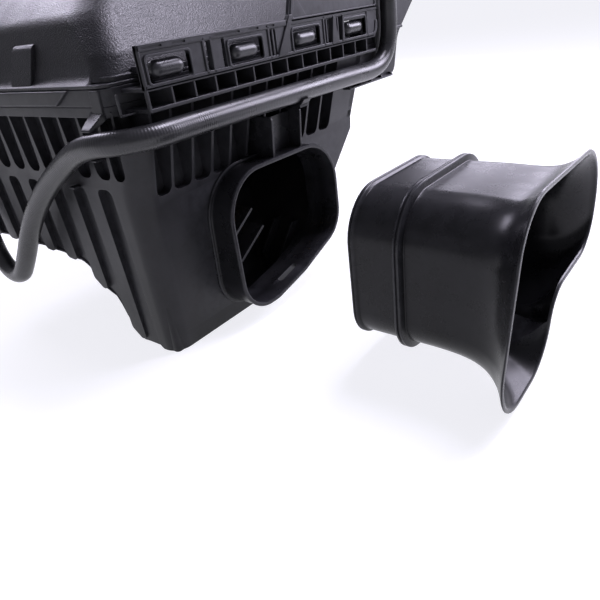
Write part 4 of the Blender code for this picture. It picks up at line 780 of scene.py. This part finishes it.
rimParts = [softened(ringPrism(rimLine, ledge, "Z", rim["seat"], rim["high"]), 0.7),
            softened(ringPrism(rimLine, inside, "Z", rim["low"], rim["seat"] + 0.01), 0.6),
            softened(prism(rim["strip"], "X", *rim["stripX"]), 0.9, 3),
            softened(prism(rim["strap"], "X", *rim["strapX"]), 0.5, 3)]
for x, y in rim["screws"]:
    rimParts.append(softened(lathe(rim["boss"], (x, y, 0), zAxis), 0.5))
for x, y in rim["screws"][:3]:  # the bosses on the back stand on two ribs each
    for side in rim["bossRibs"]:
        low, high = (Vector(p) + Vector((x + side, 0, 0)) for p in rim["bossRib"])
        rimParts.append(softened(block(low, high), 0.5))
bore, deep = rim["legBore"]
half, (foot, head) = rim["legHalf"], rim["legHeight"]
for x, y in rim["legs"]:
    core = softened(block((x - half, y - half, foot), (x + half, y + half, head)), 2.2, 3)
    rimParts.append(carved(core, [lathe(sleeve(bore, 0, 0, deep), (x, y, 0), zAxis, 32)]))
finishPiece("trayRim", joined(*rimParts), "charcoalPlastic", "tray", "lower_housing")
print("rim made")

# hinge shelf: rails, cells, and the window plate in front of the cover
shelf = {
    "left": -45, "right": 203.6, "front": -45, "root": -21, "rails": ((166.4, 168.6), (177.5, 179.7)),
    "railRadii": (0.5, 1.5, 6, 0.5), "mullions": (-26.3, 17.66, 13, 1.5), "mullionRun": (167, 178.4),
    "foot": 178.2, "plateTop": 201, "plateBack": -41.6, "plateFace": -44.2, "plateRadii": (1, 9, 4, 4, 2, 2),
    "windows": (-24.4, 64.5, 4), "window": (31.6, 13.4), "windowCorner": 1.7, "windowFrame": (1.5, 1.4, 2.6),
    "axisZ": 187.7, "cut": (-60, -30), "slitRun": (180.6, 197.2, 0.9),
    "slits": ((4.8, 8.6), (18.6, 21.6), (64.6, 71), (128, 138), (144, 150.5)),
    "posts": (3.6, 9.8, 63.4, 126.8, 188), "postHalf": 0.9, "postRun": (179, 199.6),
    "gussets": (68.5, 131.5, 146.5), "gusset": ((-44, 178.4), (-33.5, 178.4), (-35.5, 181.5), (-44, 199)),
    "wedges": (((70, 179.6), (81, 179.6), (90, 204), (86.5, 204)),
               ((135.5, 179.6), (145.5, 179.6), (140.6, 198.6), (138.6, 198.6)),
               ((149.5, 179.6), (153, 179.6), (152.5, 198.6), (151.2, 198.6))),
    "kerb": ((-45, 178), (203.6, 178), (203.6, 190), (200.6, 190), (199.1, 181), (-45, 181)),
    "kerbRadii": (0.4, 8, 0.5, 0.5, 4, 0.4), "band": ((-45, -45, 197.4), (88, -41.6, 201.3)),
    "dashes": ((-42, -27.5), (-20, -10), (13.5, 36), (44, 54), (61, 70)), "dashRun": (-43.6, 198.7, 199.9),
    "panelStart": 86, "panelLean": 13, "panelTop": 240,
    "ringOuter": ((87, 199), (99, 240), (203.6, 240), (203.6, 199)), "outerRadii": (2, 4, 4, 1),
    "ringInner": ((91, 201.6), (101.6, 236.8), (200.4, 236.8), (200.4, 201.6)), "innerRadii": (1.5, 2, 2, 1),
    "fillet": ((89, 201), (108, 201), (95.5, 217)),
    "bars": (
        ((-45, -45, 166.6), (-43.4, -42.6, 179.5), 0.4, 2),  # end post of the cells
        ((82, -45, 197.4), (203.6, -41.6, 201.3), 0.7, 3),  # band under the raised panel
        ((-45, -45, 178), (-43, -41.6, 201.3), 0.7, 3),  # left edge of the plate
        ((-37, -42.1, 199.2), (86, -31, 200.8), 0.4, 2),  # ledge behind the plate's top
        ((153, -44.2, 193.2), (185.2, -41.6, 195.2), 0.3, 2),  # closes the gap over the last barrel
        ((178.6, -34.6, 166.4), (212.5, -33.2, 239), 0.4, 2),  # backing at the right end
        ((146, -34.6, 178.6), (160, -33.2, 196), 0.4, 2),  # backing left of the last barrel
        ((-56.2, -33, 167.6), (-55, -31.4, 178.6), 0.35, 2),  # pocket left of the cells
        ((-56.2, -33, 166.4), (-43.2, -31.4, 167.6), 0.35, 2),
    ),
}
left, end, face, back = shelf["left"], shelf["right"], shelf["front"], shelf["plateBack"]
railLine = rounded(((left, shelf["root"]), (left, face), (end, face), (end, shelf["root"])), shelf["railRadii"], 6)
shelfParts = [softened(prism(railLine, "Z", low, high), 0.6, 3) for low, high in shelf["rails"]]
start, pitch, count, thick = shelf["mullions"]
low, high = shelf["mullionRun"]
fin = softened(block((-thick / 2, face + 0.5, low), (thick / 2, shelf["root"], high)), 0.35)
shelfParts.append(row(fin, count, start, pitch, "charcoalPlastic"))
start, crown, top = shelf["panelStart"], shelf["panelTop"], shelf["plateTop"]
plateLine = ((left, shelf["foot"]), (end, shelf["foot"]), (end, crown), (start + shelf["panelLean"], crown),
             (start, top), (left, top))
plate = softened(prism(rounded(plateLine, shelf["plateRadii"], 7), "Y", shelf["plateFace"], back), 0.3)
first, windowPitch, windowCount = shelf["windows"]
middles = [first + windowPitch * k for k in range(windowCount)]


def windowLine(middle, spare, spareUp, radius, steps):
    wide, tall = shelf["window"][0] / 2 + spare, shelf["window"][1] / 2 + spareUp
    return roundedBox(middle - wide, middle + wide, shelf["axisZ"] - tall, shelf["axisZ"] + tall, radius, steps)


cutLines = [windowLine(middle, 0, 0, shelf["windowCorner"], 5) for middle in middles]
low, high, radius = shelf["slitRun"]
cutLines += [roundedBox(x0, x1, low, high, radius, 4) for x0, x1 in shelf["slits"]]
shelfParts.append(carved(plate, [prism(line, "Y", *shelf["cut"]) for line in cutLines]))
depth, low, high = shelf["dashRun"]
dashes = [block((x0, shelf["cut"][0], low), (x1, depth, high)) for x0, x1 in shelf["dashes"]]
shelfParts.append(carved(softened(block(*shelf["band"]), 0.7, 3), dashes))
shelfParts.append(softened(prism(rounded(shelf["kerb"], shelf["kerbRadii"], 6), "Y", face, back), 0.5))
for middle in middles:
    hole = windowLine(middle, 0, 0, shelf["windowCorner"], 6)
    frameLine = windowLine(middle, *shelf["windowFrame"], 6)
    shelfParts.append(softened(ringPrism(frameLine, hole, "Y", face - 0.2, back), 0.4))
half, (low, high) = shelf["postHalf"], shelf["postRun"]
for x in shelf["posts"]:
    shelfParts.append(softened(block((x - half, face, low), (x + half, back, high)), 0.4))
for x in shelf["gussets"]:
    shelfParts.append(softened(prism(shelf["gusset"], "X", x - half, x + half), 0.35))
for line in shelf["wedges"]:
    shelfParts.append(softened(prism(line, "Y", face - 0.5, back), 0.6, 3))
ringOuter = rounded(shelf["ringOuter"], shelf["outerRadii"], 6)
ringInner = rounded(shelf["ringInner"], shelf["innerRadii"], 6)
shelfParts.append(softened(ringPrism(ringOuter, ringInner, "Y", face, back), 0.7, 3))
shelfParts.append(softened(prism(shelf["fillet"], "Y", face + 0.5, back), 0.6))
shelfParts += bars(shelf["bars"])
finishPiece("hingeShelf", joined(*shelfParts), "charcoalPlastic", "tray", "lower_housing")
print("hinge shelf made")

# inlet collar with its cradle, and the vanes and fan seen through it
collar = {
    "root": ((0.6, 2.3), (-1.5, 2.3), (-1.9, 1.9), (-2.1, 0.7), (-2.8, 0.15), (-3.8, 0)),
    "lipPath": ((-42.6, 0), (-43.4, 0.5), (-44.2, 0.55), (-44.8, 0.2), (-45, -0.6), (-45, -1.7), (-44.7, -2.3),
                (-44, -2.6), (-30, -2.6), (-13.5, -2.6)),
    "drain": (49.5, 71.5, -35.6, -30.6, 2.3), "drainDeep": 40, "cradles": (54.5, 87), "cradleThick": 2,
    "cradle": ((-41, 112), (-15, 112), (-15, 143), (-44.4, 143)), "cradleRadii": (0.5, 0.5, 2, 3),
    "shade": ((-29.6, 113), (-27.6, 113), (-31.5, 141), (-33.5, 141)), "shadeRadii": (0.6,) * 4,
    "slope": ((87, 0), (183, 106)), "vane": ((6, 1.5), (52, 1.5), (44, 11), (12, 11)),
    "vanes": (-4, 16.5), "vaneThick": 2, "fanRun": (-13.7, 24), "fanThick": 2.6,
    "fan": (((-6, 59.5), (38, 88)), ((-5, 37.7), (52, 74)), ((3, 19.5), (62, 56))),
}
rings = [[(p.x, frontFace(p.y) + y, p.y) for p in outset(collarLine, out)] for y, out in collar["root"]]
rings += [[(p.x, y, p.y) for p in outset(collarLine, out)] for y, out in collar["lipPath"]]
drain = prism(roundedBox(*collar["drain"], 6), "Z", 0, collar["drainDeep"])
collarParts = [carved(skinned(rings), [drain])]
cradle = rounded(collar["cradle"], collar["cradleRadii"], 5)
for x in collar["cradles"]:
    collarParts.append(softened(prism(cradle, "X", x, x + collar["cradleThick"]), 0.45))
shade = rounded(collar["shade"], collar["shadeRadii"], 4)
collarParts.append(softened(prism(shade, "X", *(x + 1 for x in collar["cradles"])), 0.4))
foot, knee = (Vector(p) for p in collar["slope"])
rise = (knee - foot).normalized()
into = Vector((-rise.y, rise.x))
vane = [foot + rise * a + into * b for a, b in collar["vane"]]
for y in collar["vanes"]:
    collarParts.append(softened(prism(vane, "Y", y, y + collar["vaneThick"]), 0.5))
for one, two in collar["fan"]:
    one, two = Vector(one), Vector(two)
    lift = (two - one).orthogonal().normalized() * collar["fanThick"] / 2
    blade = prism((one - lift, two - lift, two + lift, one + lift), "Y", *collar["fanRun"])
    collarParts.append(softened(blade, 0.5))
finishPiece("inletCollar", joined(*collarParts), "glossyBlack", "tray", "lower_housing")
print("collar made")

# side bracket and the right nipple
bracket = {
    "web": ((160, 142), (243, 142), (252, 174), (288, 203.7), (303, 217), (303, 256),
            (212, 256), (212, 167.3), (160, 167.3)),
    "webRadii": (1, 10, 20, 14, 12, 14, 5, 1, 1), "webRun": (-37, -34),
    "lug": (281, 235), "lugHole": (8.85, 0, -60, 0), "lugRing": (12.05, 9.05, -39, -36),
    "kerb": ((160, -35), (160, -42), (233, -42), (236, -35)), "kerbRadii": (0.5, 0.5, 5, 0.5),
    "kerbRun": (142, 143.3), "kerbRib": ((-41.6, 142.3), (-35, 142.3), (-35, 145.2), (-40, 145.2)),
    "kerbRibs": (160.5, 17.66, 5, 1.6), "nipple": (8, 0, 0, 15), "nippleFoot": (221, -46, 237.8),
    "bars": (
        ((174, -35.5, 166), (243, -1, 171.2), 0.6, 2),  # floor between the web and the rim
        ((233.5, -42.4, 181.7), (235.7, -35, 256), 0.6, 2),  # upright rib
        ((233.5, -42.4, 179.5), (252, -35, 181.7), 0.6, 2),
        ((213, -46, 241), (229, -35, 252.8), 0.8, 3),  # root of the nipple
    ),
}
web = prism(rounded(bracket["web"], bracket["webRadii"], 8), "Y", *bracket["webRun"])
lugFoot = at("Y", *bracket["lug"], 0)
lugHole = lathe(sleeve(*bracket["lugHole"]), lugFoot, yAxis, 40)
kerb = prism(rounded(bracket["kerb"], bracket["kerbRadii"], 6), "Z", *bracket["kerbRun"])
low, pitch, count, thick = bracket["kerbRibs"]
kerbRib = softened(prism(bracket["kerbRib"], "X", 0, thick), 0.4)
nipple = sleeve(*bracket["nipple"])
bracketParts = [carved(softened(web, 0.7, 3), [lugHole]), softened(kerb, 0.45),
                softened(lathe(sleeve(*bracket["lugRing"]), lugFoot, yAxis), 0.6),
                row(kerbRib, count, low, pitch, "charcoalPlastic"),
                softened(lathe(nipple, bracket["nippleFoot"], zAxis), 0.8, 3)]
finishPiece("sideBracket", joined(*bracketParts, *bars(bracket["bars"])), "charcoalPlastic", "tray", "lower_housing")

# corner hook and the rear nipple
hook = {
    "line": ((-54.8, 164.8), (-57.2, 164.7), (-62, 162.4), (-66.6, 160.5), (-68.3, 160.4), (-68.3, 161.6),
             (-66.6, 162.8), (-62, 166), (-57.6, 169.4), (-54.8, 169.6)),
    "ends": ((-18.5, 2.2), (-5.5, -2.2)), "narrowing": (-58, 10.3), "nippleFoot": (-65.5, 199.4, 131.3),
    "bars": (((-65.5, 191.4, 134.3), (-48, 207.4, 146.3), 0.8, 3),),
}
edge, reachOut = hook["narrowing"]
hookRings = []
for y, tipIn in hook["ends"]:
    hookRings.append([(x, y + tipIn * max(0, (edge - x) / reachOut), z) for x, z in hook["line"]])
hookParts = [softened(skinned(hookRings, loop=False), 0.55, 3),
             softened(lathe(nipple, hook["nippleFoot"], zAxis), 0.8, 3)]
finishPiece("cornerHook", joined(*hookParts, *bars(hook["bars"])), "satinPlastic", "tray", "lower_housing")
print("bracket and hook made")

# cover: a loft of rounded rectangles between four side profiles
lid = {
    "left": ((-52, 184.5), (-39, 219), (-9, 245), (60, 245)),
    "right": ((201, 184.5), (196, 230), (181, 245), (120, 245)),
    "front": ((-19, 184.5), (-15, 198), (25, 245), (90, 245)),
    "back": ((212, 184.5), (208.5, 214), (205, 245), (120, 245)),
    "radii": {"left": (18, 24), "right": (12, 14), "front": (9, 16), "back": (20, 10)},
    "foot": 184.5, "insideFoot": 183, "roof": 245, "corner": (14, 21), "cornerRise": 34, "wall": 2.6,
    "flange": (182, 183.8), "plate": (182.9, 187), "plateBox": (-49.5, 204, -20, 214, 5),
    "hole": (-43, 171, -10, 199, 7), "cove": ((-56.5, 183.8), (-50.4, 185.2), (-48.2, 194.6)),
    "coveBack": ((-42, 194.8), (-42, 183), (-56.5, 183)), "coveRun": (-7, 205), "coveShear": 0.44,
    "pad": ((-54.8, 184.2), (-40, 184.2), (-36, 208), (-45.7, 208)), "padRadii": (0.4, 0.4, 0.4, 6),
    "pads": (57, 66, 3, 25), "boss": (8.5, 4.65, 182, 190),
    "outlet": (133, 127, 0), "bore": (35.2, 0, 200, 300),
    "spigot": ((35.2, 244), (38, 244), (38, 268), (39, 268.8), (39.6, 270), (39.6, 272.2), (38.9, 273.4),
               (38, 273.9), (38, 274.5), (37.5, 275), (35.7, 275), (35.2, 274.5)),
    "spigotFoot": ((37, 243), (42, 244.6), (40, 245.4), (38.6, 246.8), (37.8, 249.5), (37, 249.5)),
}


def sideCurve(side):
    line = lid[side]
    points = [Vector(line[0])]
    for here in (1, 2):
        points += fillet(line[here - 1], line[here], line[here + 1], lid["radii"][side][here - 1], 9)
    return points


curves = {side: sideCurve(side) for side in ("left", "right", "front", "back")}


def reach(side, z):
    line = curves[side]
    if z <= line[0].y:
        return line[0].x
    for a, b in zip(line, line[1:]):
        if a.y <= z <= b.y and b.y - a.y > 1e-6:
            return a.x + (b.x - a.x) * (z - a.y) / (b.y - a.y)
    return line[-1].x


def domeSolid(inset, low):
    roof, (small, large) = lid["roof"], lid["corner"]
    levels = sorted({round(p.y, 2) for line in curves.values() for p in line if p.y > low + 1} | {low})
    rings = []
    for z in levels:
        xLow, xHigh = reach("left", z) + inset, reach("right", z) - inset
        yLow, yHigh = reach("front", z) + inset, reach("back", z) - inset
        level = low + (z - low) * (roof - inset - low) / (roof - low)
        corner = small + (large - small) * min(1, max(0, (z - lid["foot"]) / lid["cornerRise"]))
        rings.append([(p.x, p.y, level) for p in roundedBox(xLow, xHigh, yLow, yHigh, corner - inset, 11)])
    return skinned(rings, loop=False)


bore = lathe(sleeve(*lid["bore"]), lid["outlet"], zAxis, 72)
dome = carved(domeSolid(0, lid["foot"]), [domeSolid(lid["wall"], lid["insideFoot"]), bore])
hole = roundedBox(*lid["hole"])
lidParts = [dome, softened(ringPrism(rimLine, hole, "Z", *lid["flange"]), 0.5, 3),
            softened(ringPrism(roundedBox(*lid["plateBox"]), hole, "Z", *lid["plate"]), 1.1, 3)]
one, two, three = (Vector(p) for p in lid["cove"])
coveLine = [one * (1 - t) ** 2 + two * 2 * t * (1 - t) + three * t * t for t in (k / 12 for k in range(13))]
coveLine += [Vector(p) for p in lid["coveBack"]]
(low, high), foot = lid["coveRun"], coveLine[-1].y
coveRings = [[(p.x, low + (p.y - foot) * lid["coveShear"], p.y) for p in coveLine],
             [(p.x, high, p.y) for p in coveLine]]
lidParts.append(softened(skinned(coveRings, loop=False), 0.35, 2, 50))
start, pitch, count, width = lid["pads"]
pad = softened(prism(rounded(lid["pad"], lid["padRadii"], 9), "Y", 0, width), 1.8, 4)
lidParts.append(row(pad, count, start, pitch, "grainedPlastic", 1))
lidParts += [lathe(lid[part], lid["outlet"], zAxis, 96) for part in ("spigot", "spigotFoot")]
for x, y in rim["screws"]:
    lidParts.append(softened(lathe(sleeve(*lid["boss"]), (x, y, 0), zAxis), 0.7, 3))
finishPiece("coverShell", joined(*lidParts), "grainedPlastic", "cover", "upper_cover")

hinge = {"tongue": ((-7.5, -40.6, 185.7), (7.5, -17.7, 189.7)), "pivot": (0, -40.6, 187.7),
         "barrel": ((0, -12.2), (1.8, -12), (3.4, -11.1), (4.4, -9.8), (4.9, -8.2), (5, -6.4))}
barrelLine = [*hinge["barrel"], *((r, -h) for r, h in reversed(hinge["barrel"]))]
hinges = joined(softened(block(*hinge["tongue"]), 1, 3), lathe(barrelLine, hinge["pivot"], xAxis, 40))
hinges = row(hinges, windowCount, first, windowPitch, "satinPlastic")
finishPiece("coverHinges", hinges, "satinPlastic", "cover", "upper_cover")
print("cover made")

# inlet duct: rings of (place, outset) from the tip over the stop to the bell's rim, and back inside
duct = {
    "tip": -134.5, "stop": -165.7, "body": -171.2, "rim": -237.7, "wall": 2.4, "neckGap": 4.9, "droop": 7,
    "bodyStart": 0.2, "bellSteps": 26, "opening": (0.05, 0.95, 4.5), "droopPower": 2.5,
    "flare": ((-5, 121), (138.3, 115), (138.3, 45), (59, 45), (52, 3), (-31, 3)),
    "flareRadii": (32, 42, 24, 22, 30, 30),
    "tipPath": ((0, -0.6), (-0.3, 0), (-0.9, 1.3), (-1.5, 1.75), (-2, 1.75), (-2.4, 1.2), (-2.8, 1.2),
                (-3.2, 1.75), (-3.8, 1.75), (-4.5, 1.2), (-5, 0.2), (-5.6, 0)),
    "stopPath": ((0.5, 0), (0, 0.5), (-0.4, 3.8), (-0.9, 4.35), (-1.9, 4.35), (-2.4, 3.5), (-2.9, 3.5),
                 (-3.4, 4.35), (-4.4, 4.35), (-5, 3.6)),
    "bodyPath": ((0.1, 0.6), (-0.6, 0)),
    "rimPath": ((-0.7, 0.95), (-1.4, 0.7), (-1.6, -0.2), (-1.5, -1.5), (-0.9, -2.2)),
    "insidePath": ((-171.2, -2.4), (-165.7, -2.4), (-135.1, -2.4), (-134.5, -1.8)),
}
neckLine = outset(collarLine, -duct["neckGap"])
flareLine = rounded(duct["flare"], duct["flareRadii"], 12)


def ductRing(y, share, out, droop=0):
    points = [(a - Vector((0, droop))).lerp(b, share) for a, b in zip(neckLine, flareLine)]
    return [(p.x, y, p.y) for p in outset(points, out)]


def bell(share, out):
    early, late, power = duct["opening"]
    run = duct["bodyStart"] + (1 - duct["bodyStart"]) * share
    y = duct["body"] + (duct["rim"] - duct["body"]) * run
    return ductRing(y, early * share + late * share ** power, out, duct["droop"] * share ** duct["droopPower"])


steps = duct["bellSteps"]
rings = [ductRing(duct[spot] + y, 0, out) for spot in ("tip", "stop", "body") for y, out in duct[spot + "Path"]]
rings += [bell(k / steps, 0) for k in range(steps + 1)]
rings += [ductRing(duct["rim"] + y, 1, out) for y, out in duct["rimPath"]]
rings += [bell(k / steps, -duct["wall"]) for k in range(steps, -1, -1)]
rings += [ductRing(y, 0, out) for y, out in duct["insidePath"]]
finishPiece("inletDuct", skinned(rings), "glossyBlack", "duct", "inlet_duct", smooth=50)
print("duct made")

# CAD nodes that stay, with their finishes
kept = {"filter_media": "filterPaper", "filter_seal": "sealFoam", "lug_grommet": "blackRubber", "lug_sleeve": "zincSteel",
        "rubber_foot_1": "blackRubber", "rubber_foot_2": "blackRubber", "hose_clamp_right": "zincSteel",
        "hose_clamp_rear": "zincSteel", "hose_clip": "charcoalPlastic"}
for number in range(1, 5):
    for node, finish in (("screw_insert", "brass"), ("screw_sleeve", "zincSteel"), ("lid_screw", "zincSteel")):
        kept["%s_%d" % (node, number)] = finish
for node, finish in kept.items():
    thing = frame["nodes"][node]
    if thing.data.materials:
        thing.material_slots[0].material = skins[finish]
    else:
        thing.data.materials.append(skins[finish])
print("kept nodes dressed:", len(kept))

# floor, light and view
studio = {
    "floorReach": 40.0, "floorRun": (-0.02, -0.0005), "lampColour": (0.86, 0.82, 1.0),
    # the glow lifts the far floor to white, the shadow still shows
    "floor": {"Base Color": (0.32, 0.32, 0.325, 1), "Roughness": 0.8, "Specular IOR Level": 0.1,
              "Emission Color": (0.95, 0.95, 1.0, 1), "Emission Strength": 0.84},
    "sky": {"Color": (0.88, 0.88, 1.0, 1), "Strength": 0.26},
    "lamps": {
        "rightHigh": {"place": (0.69, -0.20, 1.32), "aim": (0.02, 0.0, 0.20), "size": (0.7, 0.5), "power": 26.0},
        "rightLow": {"place": (1.40, -0.25, 0.42), "aim": (0.05, -0.1, 0.12), "size": (1.6, 0.3), "power": 7.5},
        "mouth": {"place": (0.62, -0.42, 0.46), "aim": (0.03, -0.22, 0.05), "size": (0.36, 0.30), "power": 5.4},
        "backHigh": {"place": (0.30, 1.05, 0.95), "aim": (-0.02, 0.05, 0.20), "size": (0.6, 0.5), "power": 12.0},
        "leftLow": {"place": (-0.95, 0.05, 0.45), "aim": (-0.05, 0.05, 0.12), "size": (0.8, 0.5), "power": 0.4},
    },
}
side = studio["floorReach"]
floorMesh = prism(((-side, -side), (side, -side), (side, side), (-side, side)), "Z", *studio["floorRun"])
floor = bpy.data.objects.new("floor", floorMesh)
home.objects.link(floor)
floorSkin = bpy.data.materials.new("paleFloor")
floorSkin.use_nodes = True
setSockets(floorSkin.node_tree.nodes["Principled BSDF"], studio["floor"])
floorMesh.materials.append(floorSkin)

for name, lamp in studio["lamps"].items():
    data = bpy.data.lights.new(name, "AREA")
    data.shape = "RECTANGLE"
    data.size, data.size_y = lamp["size"]
    data.energy = lamp["power"]
    data.color = studio["lampColour"]
    made = bpy.data.objects.new(name, data)
    made.location = lamp["place"]
    made.rotation_euler = (Vector(lamp["aim"]) - Vector(lamp["place"])).to_track_quat("-Z", "Y").to_euler()
    home.objects.link(made)

world = bpy.data.worlds.new("studio")
world.use_nodes = True
bpy.context.scene.world = world
setSockets(world.node_tree.nodes["Background"], studio["sky"])
bpy.context.scene.view_settings.view_transform = "Standard"
print("floor, light and view set")
